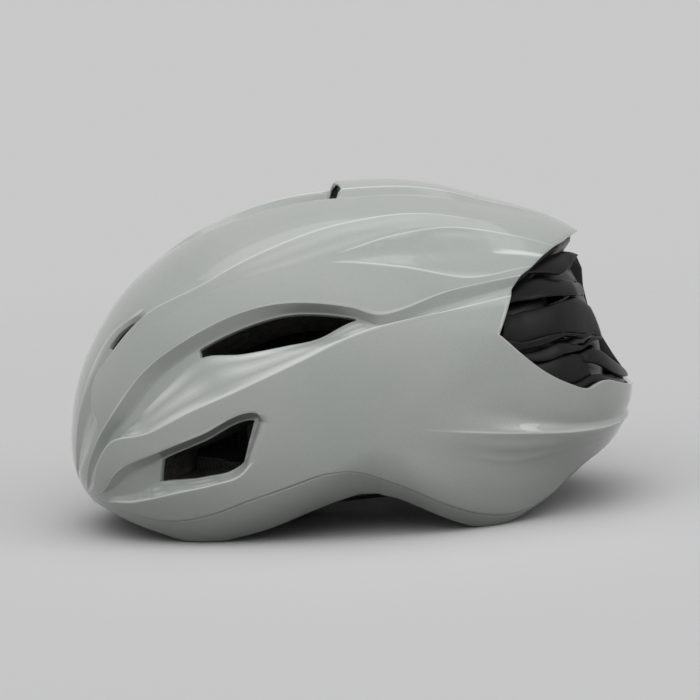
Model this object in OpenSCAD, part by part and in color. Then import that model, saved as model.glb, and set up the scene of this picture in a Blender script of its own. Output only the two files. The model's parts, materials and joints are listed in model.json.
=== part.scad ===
// Road bike helmet with a louvred rear outlet, in millimetres.
// Front is -X, the rider's left is -Y, up is +Z, and the rim stands on z = 0.

/* [Shell] */
// Thickness of the moulded outer skin
shell_t = 1.2; // [0.8:0.1:2.5]
// Gap between the skin and the foam
skin_gap = 0.5; // [0.1:0.1:0.6]
// Greatest half width of the shell
half_w = 102; // [96:1:110]
// How far the rim's lip turns in under the foam
lip_w = 7; // [4:0.5:10]
// Depth of the side air channels
channel_d = 7; // [4:0.5:9]
// Depth of the lower cheek vents
cheek_d = 8; // [4:0.5:10]
// Depth of the two nose slots
slot_d = 8; // [4:0.5:10]
// Depth of the top duct at its mouth
duct_d = 9; // [6:0.5:12]
// Depth of the rear outlet's plate under the dome
plate_in = 14; // [10:1:20]
// Thickness of the rear outlet's plate
plate_t = 2.4; // [1.6:0.2:4]
// Thickness of the rear outlet's louvres
louvre_t = 2; // [1.4:0.2:3]
// Thickness of the rear outlet's spine
spine_t = 7; // [5:1:10]
// Height of the hood over the crown
hood_h = 3.8; // [2:0.2:6]

/* [Head space] */
// Half width of the foam's cavity
cavity_w = 79; // [74:1:82]
// Cavity reach in front of the centre
cavity_front = 115; // [108:1:118]
// Cavity reach behind the centre
cavity_rear = 97; // [90:1:101]
// Cavity height above the centre
cavity_up = 80; // [74:1:84]
// Depth of the air channels in the foam's inner face
groove_d = 6; // [3:0.5:8]

/* [Pads and straps] */
// Thickness of the head pads
pad_t = 6; // [4:0.5:8]
// Half width of the crown pads
pad_w1 = 9; // [6:0.5:10]
// Half width of the brow pad
pad_w2 = 10; // [7:0.5:12]
// How far the crown pads lie off the middle
pad_y = 30; // [24:1:34]
// Width of the webbing
web_w = 15; // [12:0.5:16]
// Thickness of the webbing
web_t = 1.3; // [1:0.1:1.6]
// Width of the buckle
buckle_w = 21; // [19:0.5:21]
// Thickness of the buckle
buckle_t = 8; // [7:0.5:8]
// Slope of the folded straps, in degrees
strap_dip = 13.2; // [9:0.1:13.2]

/* [Fit dial] */
// Radius of the knob
knob_r = 10.5; // [8:0.5:11]
// Thickness of the knob
knob_t = 6.5; // [5:0.5:8]
// Height of the belt arms
belt_h = 9; // [7:0.5:10]
// Thickness of the belt arms
belt_t = 1.6; // [1.2:0.1:2]
// Height of the racks
rack_h = 14; // [13:0.5:15]
// Thickness of each rack
rack_t = 1.4; // [1.2:0.1:1.8]
// Radius of the axle screw
screw_r = 1.4; // [1.2:0.1:1.6]
// Radius of the temple posts' pins
post_r = 2; // [1.5:0.1:2.5]

/* [Hidden] */

// The drawing's datum lies this far under the floor, and this far off the middle
datum_z = 9.4;
datum_x = 0.5;
// Running clearance of pins in their holes
fit = 0.06;
// Gap from the foam to the pads, and the hook discs in it
pad_gap = 2.7;
hook_gap = 1.5;
hook_t = 0.4;
hook_r = 3;
// Pin axes of the strap anchors, which stand on the cavity's wall
strap_y = cavity_w * 66.2 / 79 - 5.2;
strap_z = 25;
front_x = -40;
rear_x = 42;
anchor_w = 18;
ear_t = 1.1;
pin_r = 1.5;
// Webbing: inner radius of its loops, which is also its height over the pins, and the gap at its ends
web_n = pin_r + 0.1;
web_gap = 0.3;
// Divider, cam lever, keeper and buckle, as x and distance from the pins
div_x0 = -46;
div_x1 = -20;
div_s0 = 40.3;
div_s1 = 56;
div_top = 4;
cam_s = 53;
cam_n = 6.2;
cam_r = 2;
cam_pin_r = 1;
keeper_x = -73;
buckle_x0 = -102;
buckle_x1 = -78.3;
plug_x = -88;
// Temple posts on the cavity's wall, and the belt arms' yaw pins
temple_y = cavity_w * 70.3 / 79;
clip_x = -51;
clip_z = 60;
arm_x = -42.5;
arm_y = temple_y - 7.4;
arm_pin_r = 1.2;
belt_rear = 90;
belt_end_z = 30.5;
// Dial axis, racks and pinion
dial_z = 29;
rack_x = 90.7;
rack_gap = 0.4;
pinion_r = 4;
pinion_teeth = 12;
hub_r = 4;

// Centre that the whole shell is drawn around
centre = [5, 0, 60];
// Roundness of the cross sections: 2 is an ellipse
round_n = 2.3;
cavity_n = 2.2;
// Depth of the cavity's own lower half, which makes its walls stand steep
cavity_down = 110;

// Side outline of the dome: angle about the centre (0 rear, 90 up, 180 front) and radius
outline = [
    [-94, 53], [-65, 71], [-54, 89], [-45, 101], [-38, 106], [-27, 110], [-15, 117], [-8, 127],
    [-1, 133], [10, 136.5], [20, 137.5], [29, 139], [36, 139], [42, 134], [49, 126.5], [58, 119],
    [67, 115], [78, 112], [90, 110.5], [99, 111.5], [108, 113], [118, 116], [129, 121],
    [140, 126.5], [151, 133.5], [160, 138], [169, 142.5], [178, 145.5], [188, 147], [196, 142],
    [203, 135], [208, 128], [216, 108], [224, 85], [244, 59], [266, 53]
];
outline_a = [for (p = outline) p[0]];
outline_r = [for (p = outline) p[1]];

// Smooth curves through points at uneven stations
function slope(t, v, i) =
    let (n = len(t) - 1)
    i == 0 ? (v[1] - v[0]) / (t[1] - t[0]) :
    i == n ? (v[n] - v[n - 1]) / (t[n] - t[n - 1]) :
    let (h0 = t[i] - t[i - 1], h1 = t[i + 1] - t[i])
    ((v[i + 1] - v[i]) / h1 * h0 + (v[i] - v[i - 1]) / h0 * h1) / (h0 + h1);
// The same without overshoot, for depths
function slope_flat(t, v, i) =
    let (n = len(t) - 1)
    i == 0 || i == n ? 0 :
    let (
        h0 = t[i] - t[i - 1],
        h1 = t[i + 1] - t[i],
        s0 = (v[i] - v[i - 1]) / h0,
        s1 = (v[i + 1] - v[i]) / h1,
        p = (s0 * h1 + s1 * h0) / (h0 + h1)
    )
    (sign(s0) + sign(s1)) * min(abs(s0), abs(s1), abs(p) / 2);
function span(t, u, i = 0) = i >= len(t) - 2 || u < t[i + 1] ? i : span(t, u, i + 1);
function ease(a, b, m0, m1, s) =
    a * (1 + 2 * s) * (1 - s) * (1 - s) + m0 * s * (1 - s) * (1 - s)
    + b * s * s * (3 - 2 * s) - m1 * s * s * (1 - s);
function curve(t, v, u) =
    let (i = span(t, u), h = t[i + 1] - t[i])
    ease(v[i], v[i + 1], slope(t, v, i) * h, slope(t, v, i + 1) * h, (u - t[i]) / h);
function curve_flat(t, v, u) =
    let (i = span(t, u), h = t[i + 1] - t[i])
    ease(v[i], v[i + 1], slope_flat(t, v, i) * h, slope_flat(t, v, i + 1) * h, (u - t[i]) / h);

// Dome: how far out a direction is, 1 on its surface
function dome_r(a) = curve(outline_a, outline_r, a < outline_a[0] ? a + 360 : a);
function dome_f(q) =
    let (rho = norm([q[0], q[2]]), a = atan2(q[2], q[0]))
    pow(pow(rho / dome_r(a), round_n) + pow(abs(q[1]) / half_w, round_n), 1 / round_n);
function cavity_f(q) =
    let (
        x = q[0] / (q[0] < 0 ? cavity_front : cavity_rear),
        z = q[2] / (q[2] < 0 ? cavity_down : cavity_up)
    )
    pow(pow(norm([x, z]), cavity_n) + pow(abs(q[1]) / cavity_w, cavity_n), 1 / cavity_n);
// The point of the dome seen from the centre in p's direction, d below its surface
function on_dome(p, d) =
    let (q = p - centre, n = norm(q))
    centre + q / n * (n / dome_f(q) - d);
function on_cavity(p) =
    let (q = p - centre)
    centre + q / cavity_f(q);

// Feature lines of the shell from nose to tail: station, x, y, z, depth.
// Station 0 is the nose, 10 the top of the rear cut-out and 13 the rear middle.
c1 = channel_d;
c2 = cheek_d;
lines = [
    // 0 crown, with the duct floor and the hood's ridge
    [[1, -141, 0, 42, 0], [2, -141, 0, 59, 0], [3, -135, 0, 86, 0], [4, -121, 0, 113, 0], [5.2, -92, 0, 141, 0],
     [6, -63, 0, 157, duct_d * 0.45], [7.3, -8, 0, 170, duct_d], [7.6, -1, 0, 171, -hood_h],
     [8.3, 30, 0, 169, -hood_h], [9.2, 75, 0, 159, -hood_h / 2], [10, 118, 0, 141, 0]],
    // 1 foot of the duct's wall, then the hood's shoulder
    [[1, -141, 3, 42, 0], [2, -141, 4, 59, 0], [4, -121, 5, 113, 0], [5.2, -92, 3, 141, 0],
     [6, -63, 13, 156, duct_d * 0.45], [7.3, -8, 24, 168, duct_d], [7.6, -1, 24, 168, -hood_h * 0.9],
     [8.3, 30, 22, 167, -hood_h * 0.9], [9.2, 75, 16, 158, -hood_h * 0.4], [10, 118, 6, 141, 0]],
    // 2 edge of the duct, then the foot of the hood
    [[1, -141, 6, 42, 0], [2, -141, 8, 59, 0], [4, -120, 9, 113, 0], [5.2, -92, 6, 141, 0],
     [6, -63, 17, 155, 0], [7.3, -8, 28, 167, 0], [7.6, -1, 29, 167, 0],
     [8.3, 30, 28, 166, 0], [9.2, 75, 22, 157, 0], [10, 117, 12, 141, 0]],
    // 3 edge of the nose rib
    [[1, -139, 22, 45, 0], [2, -138, 26, 64, 0], [3, -131, 29, 88, 0], [4, -117, 34, 111, 0],
     [4.6, -104, 45, 120, 0], [5.5, -80, 46, 137, 0], [6.5, -42, 44, 155, 0], [7.6, 3, 41, 164, 0],
     [9, 64, 36, 156, 0], [10, 114, 22, 142, 0]],
    // 4 foot of the rib's wall in the nose slot
    [[1, -138, 25, 46, 1], [2, -135, 32, 66, 3], [3, -127, 37, 90, slot_d * 0.8], [3.7, -119, 40, 102, slot_d],
     [4.4, -108, 46, 115, slot_d], [4.7, -102, 48, 120, 0], [5.5, -78, 51, 136, 0], [6.5, -42, 50, 153, 0],
     [7.6, 5, 46, 162, 0], [9, 64, 40, 155, 0], [10, 111, 30, 142, 0]],
    // 5 foot of the panel's wall in the nose slot
    [[1, -137, 29, 47, 1], [2, -132, 38, 68, 3], [3, -126, 40, 89, slot_d * 0.8], [3.7, -118, 43, 102, slot_d],
     [4.4, -107, 48, 115, slot_d], [4.7, -101, 50, 120, 0], [5.5, -76, 56, 134, 0], [6.5, -42, 56, 150, 0],
     [7.6, 6, 51, 161, 0], [9, 64, 43, 155, 0], [10, 108, 36, 142, 0]],
    // 6 front edge of the side panel, then the first ridge
    [[1, -135, 36, 48, 0], [1.8, -127, 49, 67, 0], [2.3, -130, 41, 76, 0], [2.9, -128, 37, 87, 0],
     [3.5, -121, 41, 98, 0], [4.4, -106, 49, 116, 0], [4.8, -99, 52, 121, 0], [5.5, -75, 61, 132, 0],
     [6.3, -49, 62, 144, 0], [7.2, -11, 58, 156, 0], [8, 25, 51, 159, 0], [9, 64, 46, 154, 0], [10, 106, 40, 141, 0]],
    // 7 upper branch of the soft scoop
    [[1, -135, 37, 48, 0], [1.8, -127, 49, 66, 0], [2.6, -121, 49, 80, 0], [3.6, -114, 51, 98, 0],
     [5, -84, 63, 123, 0], [6.9, -14, 73, 143, 0], [8, 22, 64, 151, 0], [9, 56, 54, 151, 0], [10, 98, 52, 140, 0]],
    // 8 bottom of the soft scoop
    [[1, -135, 38, 48, 0], [1.8, -127, 50, 65, 0], [2.6, -120, 52, 79, 0], [3.6, -110, 55, 97, 0],
     [5, -79, 67, 121, 0], [6.9, -14, 74, 142, 0], [8, 21, 72, 145, 2.2], [9, 53, 67, 142, 2.2], [10, 90, 61, 136, 0.5]],
    // 9 lower branch of the soft scoop
    [[1, -134, 39, 48, 0], [1.8, -127, 50, 64, 0], [2.6, -119, 55, 78, 0], [3.6, -105, 60, 96, 0],
     [5, -73, 72, 118, 0], [6.9, -14, 75, 141, 0], [8, 20, 79, 138, 0], [9, 53, 79, 130, 0], [10, 84, 68, 132, 0]],
    // 10 overhanging edge of the air channel, then the upper edge of the step
    [[0.5, -135, 32, 36, 0], [1, -134, 41, 47, 0], [1.8, -128, 51, 62, 0], [2.5, -118, 59, 76, 0],
     [3.3, -104, 66, 94, 0], [4.3, -83, 74, 109, 0], [5.4, -57, 80, 121, 0], [6.6, -28, 85, 124, 0],
     [7.4, -5, 90, 121, 0], [7.9, 8, 92, 117, 0], [8.9, 43, 84, 125, 0], [10, 78, 74, 129, 0]],
    // 11 foot of the overhang and upper edge of the side vent
    [[0.5, -134, 34, 36, 0.6], [1, -132, 43, 47, 2.5], [1.8, -125, 53, 62, c1 * 0.8], [2.5, -114, 61, 74, c1 * 0.9],
     [3.3, -100, 67, 91, c1], [4.3, -79, 73, 104, c1], [5.4, -53, 79, 116, c1], [6.6, -26, 82, 119, c1],
     [7.5, -2, 86, 115, c1 * 0.9], [8.1, 12, 92, 112, 3.2], [9, 48, 86, 121, 3], [10, 75, 77, 125, 3]],
    // 12 lower edge of the side vent
    [[0.5, -133, 36, 36, 0.6], [1, -131, 46, 48, 2.5], [1.8, -122, 56, 61, c1 * 0.7], [2.5, -110, 64, 72, c1 * 0.85],
     [3.3, -95, 70, 86, c1], [4.3, -77, 74, 99, c1], [5.4, -56, 82, 101, c1], [6.2, -36, 86, 104, c1],
     [6.9, -20, 88, 107, c1 * 0.95], [7.5, -2, 87, 114, c1 * 0.9], [8.1, 13, 92, 111, 3], [9, 49, 87, 120, 2.8], [10, 74, 78, 124, 2.8]],
    // 13 crease at the foot of the channel's floor
    [[0.5, -132, 39, 36, 0], [1, -128, 50, 50, 0], [1.6, -122, 58, 60, 0], [2.6, -103, 75, 66, 0],
     [3.3, -84, 85, 76, 0], [4.6, -59, 92, 86, 0], [5.8, -31, 96, 98, 0], [6.8, -11, 95, 106, 0],
     [7.9, 10, 94, 112, 0], [9, 48, 89, 118, 1.2], [10, 73, 81, 121, 1.5]],
    // 14 middle of the cheek, then the lower edge of the rear cut-out
    [[0.5, -130, 42, 35, 0], [1, -126, 53, 48, 0], [2, -113, 68, 57, 0], [3, -89, 85, 68, 0], [4.5, -58, 94, 81, 0],
     [6, -25, 98, 92, 0], [7.5, 5, 98, 101, 0], [9, 40, 95, 107, 0], [10, 64, 91, 103, 0], [10.4, 74, 90, 94, 0],
     [10.8, 84, 87, 85, 0], [11.4, 98, 80, 76, 0], [11.8, 107, 73, 72, 0], [12.3, 119, 62, 74, 0],
     [12.6, 128, 48, 71, 0], [13, 139, 0, 65, 0]],
    // 15 upper edge of the cheek vent's recess
    [[0.5, -129, 45, 34, 0], [0.8, -126, 49, 36, 0], [1.3, -120, 61, 46, 0], [2.2, -101, 77, 56, 0],
     [3.2, -79, 88, 65, 0], [4.25, -54, 95, 75, 0], [4.5, -49, 97, 74, 0], [6, -20, 100, 80, 0], [8, 18, 101, 88, 0],
     [10, 60, 95, 84, 0], [11, 86, 87, 72, 0], [12, 112, 68, 63, 0], [13, 138, 0, 60, 0]],
    // 16 upper edge of the cheek vent
    [[0.5, -128, 46, 33, 0.3], [0.8, -124, 52, 36, 2], [1.3, -115, 63, 44, c2 * 0.6], [2.1, -99, 71, 52, c2],
     [3.2, -79, 82, 61, c2], [4.2, -54, 90, 71, c2], [4.5, -48, 97, 70, 0], [6, -18, 102, 70, 0], [8, 18, 102, 74, 0],
     [10, 56, 97, 71, 0], [11, 80, 90, 63, 0], [12, 111, 68, 56, 0], [13, 137, 0, 56, 0]],
    // 17 lower edge of the cheek vent, then the lobe's crease
    [[0.5, -127, 47, 31, 0.3], [0.8, -123, 52, 32, 2], [1.3, -114, 62, 34, c2 * 0.6], [2.1, -101, 68, 40, c2],
     [3.2, -80, 81, 43, c2 * 0.9], [4.1, -61, 88, 49, c2 * 0.8], [4.5, -54, 96, 57, 0], [6, -16, 101, 60, 0], [8, 18, 101, 62, 0],
     [10, 49, 99, 59, -0.5], [11, 74, 92, 56, -0.8], [12, 108, 70, 52, -0.5], [13, 135, 0, 52, 0]],
    // 18 lower lip of the cheek vent
    [[0.5, -127, 47, 29, 0], [0.8, -122, 52, 30, 0], [1.3, -114, 62, 31, 0], [2.2, -92, 80, 37, 0],
     [3.2, -75, 89, 41, 0], [4.1, -61, 94, 46, 0], [4.5, -55, 96, 52, 0], [6, -14, 100, 53, 0], [8, 18, 99, 50, 0],
     [10, 46, 95, 45, 0], [11, 70, 88, 40, 0.5], [12, 103, 69, 43, 0.3], [13, 133, 0, 48, 0]],
    // 19 crease of the rim, where the lower skin begins
    [[0.5, -126, 46, 28, 0], [1, -117, 56, 25, 0], [1.7, -99, 68, 22, 0], [2.5, -82, 79, 24, 0], [3.6, -57, 92, 33, 0],
     [4.6, -38, 98, 39, 0], [5.6, -22, 100, 44, 0], [6.6, -8, 99, 44, 0], [7.6, 5, 97, 39, 0], [8.6, 18, 95, 33, 0],
     [10, 49, 87, 18, 0], [10.5, 61, 81, 15, 0], [11, 74, 73, 15, 0], [11.8, 90, 63, 21, 0], [12.5, 109, 50, 32, 0],
     [13, 131, 0, 44, 0]]
];
// 20 bottom edge of the rim, all the way round
rim = [
    [-1, -133.5, 0, 23.5, 0], [0, -130, 30, 24.5, 0], [0.7, -121, 43, 20.5, 0], [1.4, -107, 56, 14.5, 0],
    [2, -90, 65, 8.2, 0], [2.6, -77, 70, 7.8, 0], [3.2, -64, 74.5, 11.5, 0], [4, -48, 79, 16.5, 0],
    [4.8, -30, 84, 23.5, 0], [5.8, -12, 88, 29.5, 0], [6.6, -2, 89, 31, 0], [7.5, 9, 89, 29, 0],
    [8.8, 28, 87, 20, 0], [9.6, 44, 82, 12.5, 0], [10.2, 54, 78, 8.7, 0], [10.8, 65, 73, 9, 0], [11.3, 76, 68, 13, 0],
    [11.9, 92, 59, 20, 0], [12.5, 109, 42, 29, 0], [13, 129, 0, 40, 0]
];
last_line = len(lines) - 1;
cut_line = 14;

// Front edge that the lines start from, f = 0 in the middle and 1 at the lower skin
function nose_edge(f) = [-139 + 6 * f * f, 36 * f, 31 - f];
function line_u(i) = concat([0], [for (p = lines[i]) p[0]]);
function line_p(i) = concat([nose_edge(i / last_line)], [for (p = lines[i]) [p[1], p[2], p[3]]]);
function line_d(i) = concat([0], [for (p = lines[i]) p[4]]);
tables_u = [for (i = [0:last_line]) line_u(i)];
tables_p = [for (i = [0:last_line]) line_p(i)];
tables_d = [for (i = [0:last_line]) line_d(i)];
rim_u = [for (p = rim) p[0]];
rim_p = [for (p = rim) [p[1], p[2], p[3]]];

// A point between the lines: direction and depth at row s and station u
function row_p(s, u) =
    let (i = min(floor(s), last_line - 1), f = s - i)
    curve(tables_u[i], tables_p[i], u) * (1 - f) + curve(tables_u[i + 1], tables_p[i + 1], u) * f;
function row_d(s, u) =
    let (i = min(floor(s), last_line - 1), f = s - i)
    curve_flat(tables_u[i], tables_d[i], u) * (1 - f) + curve_flat(tables_u[i + 1], tables_d[i + 1], u) * f;
function floor_clip(p) = [p[0], p[1], max(p[2], datum_z)];
function skin(s, u, extra) = on_dome(row_p(s, u), row_d(s, u) + extra);

// Openings in the grid of rows and stations
function open_at(s, u) =
    (s < cut_line && u > 10)
    || (s > 11 && s < 12 && u > 4.3 && u < 7.5)
    || (s > 16 && s < 17 && u > 2.1 && u < 4.2)
    || (s > 4 && s < 5 && u > 3 && u < 4.4)
    || (s < 1 && u > 7.3 && u < 7.6);

// A wall over a grid of points, mirrored about the middle row into one closed mesh.
// outer and inner hold one side's points, open the cells left out; with closed, both sides meet at the last column.
module walled_grid(outer, inner, open, closed = true) {
    nr = len(outer);
    nc = len(outer[0]);
    half = (2 * nr - 1) * nc;
    function side_pts(g) = concat(
        [for (i = [nr - 1:-1:1]) each g[i]],
        [for (row = g) for (p = row) [p[0], -p[1], p[2]]]);
    function row_of(i) = i < nr - 1 ? nr - 2 - i : i - nr + 1;
    function gone(i, j) = i < 0 || i > 2 * nr - 3 || j < 0 || j > nc - 2 ? true : open[row_of(i)][j];
    function id(i, j, lay) = lay * half + (closed && j == nc - 1 && i < nr - 1 ? 2 * nr - 2 - i : i) * nc + j;
    function quad(a, b, c, d) = [[a, c, b], [a, d, c]];
    faces = [
        for (i = [0:2 * nr - 3]) for (j = [0:nc - 2]) if (!gone(i, j)) each concat(
            quad(id(i, j, 0), id(i + 1, j, 0), id(i + 1, j + 1, 0), id(i, j + 1, 0)),
            quad(id(i, j, 1), id(i, j + 1, 1), id(i + 1, j + 1, 1), id(i + 1, j, 1)),
            gone(i - 1, j) ? quad(id(i, j, 0), id(i, j + 1, 0), id(i, j + 1, 1), id(i, j, 1)) : [],
            gone(i + 1, j)
                ? quad(id(i + 1, j + 1, 0), id(i + 1, j, 0), id(i + 1, j, 1), id(i + 1, j + 1, 1)) : [],
            gone(i, j - 1) ? quad(id(i + 1, j, 0), id(i, j, 0), id(i, j, 1), id(i + 1, j, 1)) : [],
            !(closed && j == nc - 2) && gone(i, j + 1)
                ? quad(id(i, j + 1, 0), id(i + 1, j + 1, 0), id(i + 1, j + 1, 1), id(i, j + 1, 1)) : [])
    ];
    polyhedron(concat(side_pts(outer), side_pts(inner)), faces, convexity = 10);
}

// One profile carried through a list of places, as a closed ring or with two end caps
module ring_sweep(sections, ring) {
    n = len(sections);
    m = len(sections[0]);
    last = ring ? n - 1 : n - 2;
    pts = [for (sec = sections) each sec];
    sides = [for (i = [0:last]) for (j = [0:m - 1])
        let (i2 = (i + 1) % n, j2 = (j + 1) % m)
        each [[i * m + j, i2 * m + j, i2 * m + j2], [i * m + j, i2 * m + j2, i * m + j2]]];
    caps = ring ? [] : [for (k = [0:m / 2 - 2])
        let (k1 = k + 1, l = m - 1 - k, l1 = m - 2 - k, e = (n - 1) * m)
        each [[k, k1, l1], [k, l1, l], [e + k, e + l1, e + k1], [e + k, e + l, e + l1]]];
    polyhedron(pts, concat(sides, caps), convexity = 10);
}

// Everything is drawn above the datum and set down on the floor here
module set_down() {
    translate([-datum_x, 0, -datum_z]) children();
}
module mirrored(side) {
    if (side < 0) children();
    else mirror([0, 1, 0]) children();
}

// Rows and stations of the outer skin
shell_s = [0, 0.5, 1, 2, 2.5, 3, 4, 5, 6, 6.5, 7, 8, 9, 9.5, 10, 11, 12, 13, 13.5, 14, 15, 16, 17, 18, 18.5, 19];
shell_u = [0, 0.5, 0.9, 1.3, 1.7, 2.1, 2.6, 3, 3.5, 4, 4.2, 4.3, 4.4, 4.6, 5, 5.5, 6, 6.5, 7, 7.3, 7.5, 7.6, 8, 8.6,
           9.3, 10, 10.4, 10.8, 11.3, 11.8, 12.2, 12.4, 12.7, 13];
function mids(v) = [for (i = [0:len(v) - 2]) (v[i] + v[i + 1]) / 2];
function opens(rows, stations) = [for (s = mids(rows)) [for (u = mids(stations)) open_at(s, u)]];
function skin_grid(extra) = [for (s = shell_s) [for (u = shell_u) skin(s, u, extra)]];

// Upper skin: thin moulded polycarbonate from the crown to the rim's crease
module outer_shell() color("gainsboro") set_down()
    walled_grid(skin_grid(0), skin_grid(shell_t), opens(shell_s, shell_u));

// Lower skin: a ring from the rim's crease round under the foam
band_u = concat([-1, -0.75, -0.5, -0.25], shell_u);
function crease_p(u) = u < 0 ? nose_edge(1 + u) : curve(tables_u[last_line], tables_p[last_line], u);
function rim_at(u) = curve(rim_u, rim_p, u);
lip_t = 1.5;
// The lip is flat where the helmet stands on it
function lip_end(low, q) = low[2] > datum_z ? q : [q[0], q[1], datum_z];
band_gap = 0.4;
function band_section(u) =
    let (c = crease_p(u), b = rim_at(u), w = (c - b) / norm(c - b), a = c - w * band_gap, m = (a + b) / 2)
    [on_dome(a, 0), on_dome(m, 0), floor_clip(on_dome(b, 0)), lip_end(on_dome(b, 0), on_dome(b, lip_w)),
     on_dome(b + w * lip_t, lip_w), on_dome(b + w * lip_t, shell_t), on_dome(m, shell_t), on_dome(a, shell_t)];
function flip_y(v) = [for (p = v) [p[0], -p[1], p[2]]];
module lower_shell() color("silver") set_down() {
    near = [for (u = band_u) flip_y(band_section(u))];
    n = len(near);
    far = [for (i = [n - 2:-1:1]) flip_y(near[i])];
    ring_sweep(concat(near, far), true);
}

// Foam body: expanded polystyrene moulded inside both skins, with the vents carried through it
foam_s = concat([for (s = shell_s) if (s < 8) s], [7.6], [for (s = shell_s) if (s > 7.6) s], [19.5, 20]);
foam_u = shell_u;
foam_in = shell_t + skin_gap;
foam_lift = lip_t + 1.4;
function foam_edge(a, b) = b + (a - b) / norm(a - b) * foam_lift;
function foam_p(s, u) =
    u == 0 ? foam_edge(nose_edge(s / 20), rim_at(s / 20 - 1)) :
    s > last_line ? crease_p(u) * (20 - s) + foam_edge(crease_p(u), rim_at(u)) * (s - 19) : row_p(s, u);
function foam_d(s, u) = u == 0 || s > last_line ? 0 : row_d(s, u);
// Air channels in its inner face, from beside the crown pads and from the side vents back to the cut-out
function ramp(v, a, b) = min(1, max(0, (v - a) / (b - a)));
function groove(s, u) = groove_d * max(
    ramp(s, 6, 6.5) * ramp(-s, -8, -7.6) * ramp(u, 3.5, 4.6),
    ramp(s, 10, 11) * ramp(-s, -13, -12) * ramp(u, 6.5, 7.6));
function foam_inner(p, deep) =
    let (q = on_cavity(p), d = q - centre)
    q + d / norm(d) * deep;
module foam_liner() color("dimgray") set_down()
    walled_grid(
        [for (s = foam_s) [for (u = foam_u) on_dome(foam_p(s, u), foam_d(s, u) + foam_in)]],
        [for (s = foam_s) [for (u = foam_u) foam_inner(foam_p(s, u), groove(s, u))]],
        opens(foam_s, foam_u));

// Rear outlet: a black moulded grille in the cut-out, with a spine, a lip and swept louvres on each side.
// k runs from the middle (0) to the cut-out's corner (1), v from its top (0) to its bottom (1).
function outlet_p(k, v) = row_p(cut_line * k, 10) * (1 - v) + curve(tables_u[cut_line], tables_p[cut_line], 13 - 3 * k) * v;
outlet_k = [0, 0.07, 0.14, 0.26, 0.38, 0.5, 0.6, 0.7, 0.77, 0.842];
outlet_v = [0.012, 0.1, 0.19, 0.28, 0.37, 0.45, 0.54, 0.64, 0.72, 0.8, 0.9, 0.982];
function port_at(k, v) = k > 0.14 && ((k < 0.6 && ((v > 0.1 && v < 0.19) || (v > 0.72 && v < 0.8)))
    || (k < 0.7 && ((v > 0.28 && v < 0.37) || (v > 0.54 && v < 0.64))));
// Each louvre: stations of k, v at its root, v at its free edge and the free edge's depth
louvres = [
    [[0.64, 0.03, 0.06, 12], [0.55, 0.04, 0.12, 8], [0.45, 0.05, 0.19, 6.5], [0.38, 0.06, 0.2, 5.5],
     [0.31, 0.07, 0.15, 4.5], [0.25, 0.08, 0.1, 3.5]],
    [[0.74, 0.12, 0.16, 12], [0.64, 0.17, 0.27, 9], [0.54, 0.21, 0.34, 7.5], [0.44, 0.23, 0.38, 6.5],
     [0.35, 0.26, 0.39, 5.5], [0.27, 0.3, 0.38, 4.5]],
    [[0.8, 0.42, 0.5, 12], [0.7, 0.43, 0.57, 9], [0.6, 0.44, 0.6, 8], [0.48, 0.46, 0.61, 7], [0.36, 0.48, 0.62, 6],
     [0.25, 0.5, 0.62, 5], [0.17, 0.53, 0.61, 4.5]],
    [[0.68, 0.66, 0.74, 12], [0.6, 0.66, 0.79, 9], [0.5, 0.66, 0.79, 7.5], [0.4, 0.66, 0.78, 6.5], [0.3, 0.66, 0.77, 5.5],
     [0.2, 0.66, 0.74, 4.5], [0.14, 0.66, 0.71, 4]]
];
function louvre_section(q) = [
    on_dome(outlet_p(q[0], q[1]), plate_in + 1), on_dome(outlet_p(q[0], q[2]), q[3]),
    on_dome(outlet_p(q[0], q[2] + 0.012), q[3] + louvre_t), on_dome(outlet_p(q[0], q[1] + 0.04), plate_in + 1.4)];
module louvre(q) {
    sections = [for (p = q) louvre_section(p)];
    n = len(sections) - 1;
    ring_sweep([for (i = [n:-1:0]) sections[i]], false);
    ring_sweep([for (q = sections) flip_y(q)], false);
}
// Flared lip at the bottom: k, v and depth of its edge
lip_edge = [[0.27, 0.83, 9], [0.2, 0.82, 5.5], [0.14, 0.85, 3.5], [0.08, 0.89, 2.2], [0.02, 0.94, 1.5]];
function lip_section(q) = [
    on_dome(outlet_p(q[0], q[1] - 0.12), plate_in + 1), on_dome(outlet_p(q[0], q[1]), q[2]),
    on_dome(outlet_p(q[0], q[1] + 0.02), q[2] + louvre_t), on_dome(outlet_p(q[0], q[1] - 0.06), plate_in + 1.4)];
module outlet_lip() {
    side = [for (q = lip_edge) lip_section(q)];
    n = len(side) - 1;
    ring_sweep(concat([for (q = side) flip_y(q)], [for (i = [n:-1:0]) side[i]]), false);
}
module rear_outlet() color("black") set_down() {
    walled_grid(
        [for (k = outlet_k) [for (v = outlet_v) on_dome(outlet_p(k, v), plate_in)]],
        [for (k = outlet_k) [for (v = outlet_v) on_dome(outlet_p(k, v), plate_in + plate_t)]],
        [for (k = mids(outlet_k)) [for (v = mids(outlet_v)) port_at(k, v)]],
        false);
    for (q = louvres) louvre(q);
    outlet_lip();
    translate([0, spine_t / 2, 0]) rotate([90, 0, 0]) linear_extrude(spine_t)
        polygon([[104, 130], [112, 133], [126, 127], [127, 110], [132, 92], [139.4, 69], [120, 68], [116, 96]]);
}

// A point d inside the cavity's wall
function in_cavity(p, d) =
    let (q = p - centre, n = norm(q))
    centre + q / n * (n / cavity_f(q) - d);

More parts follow.
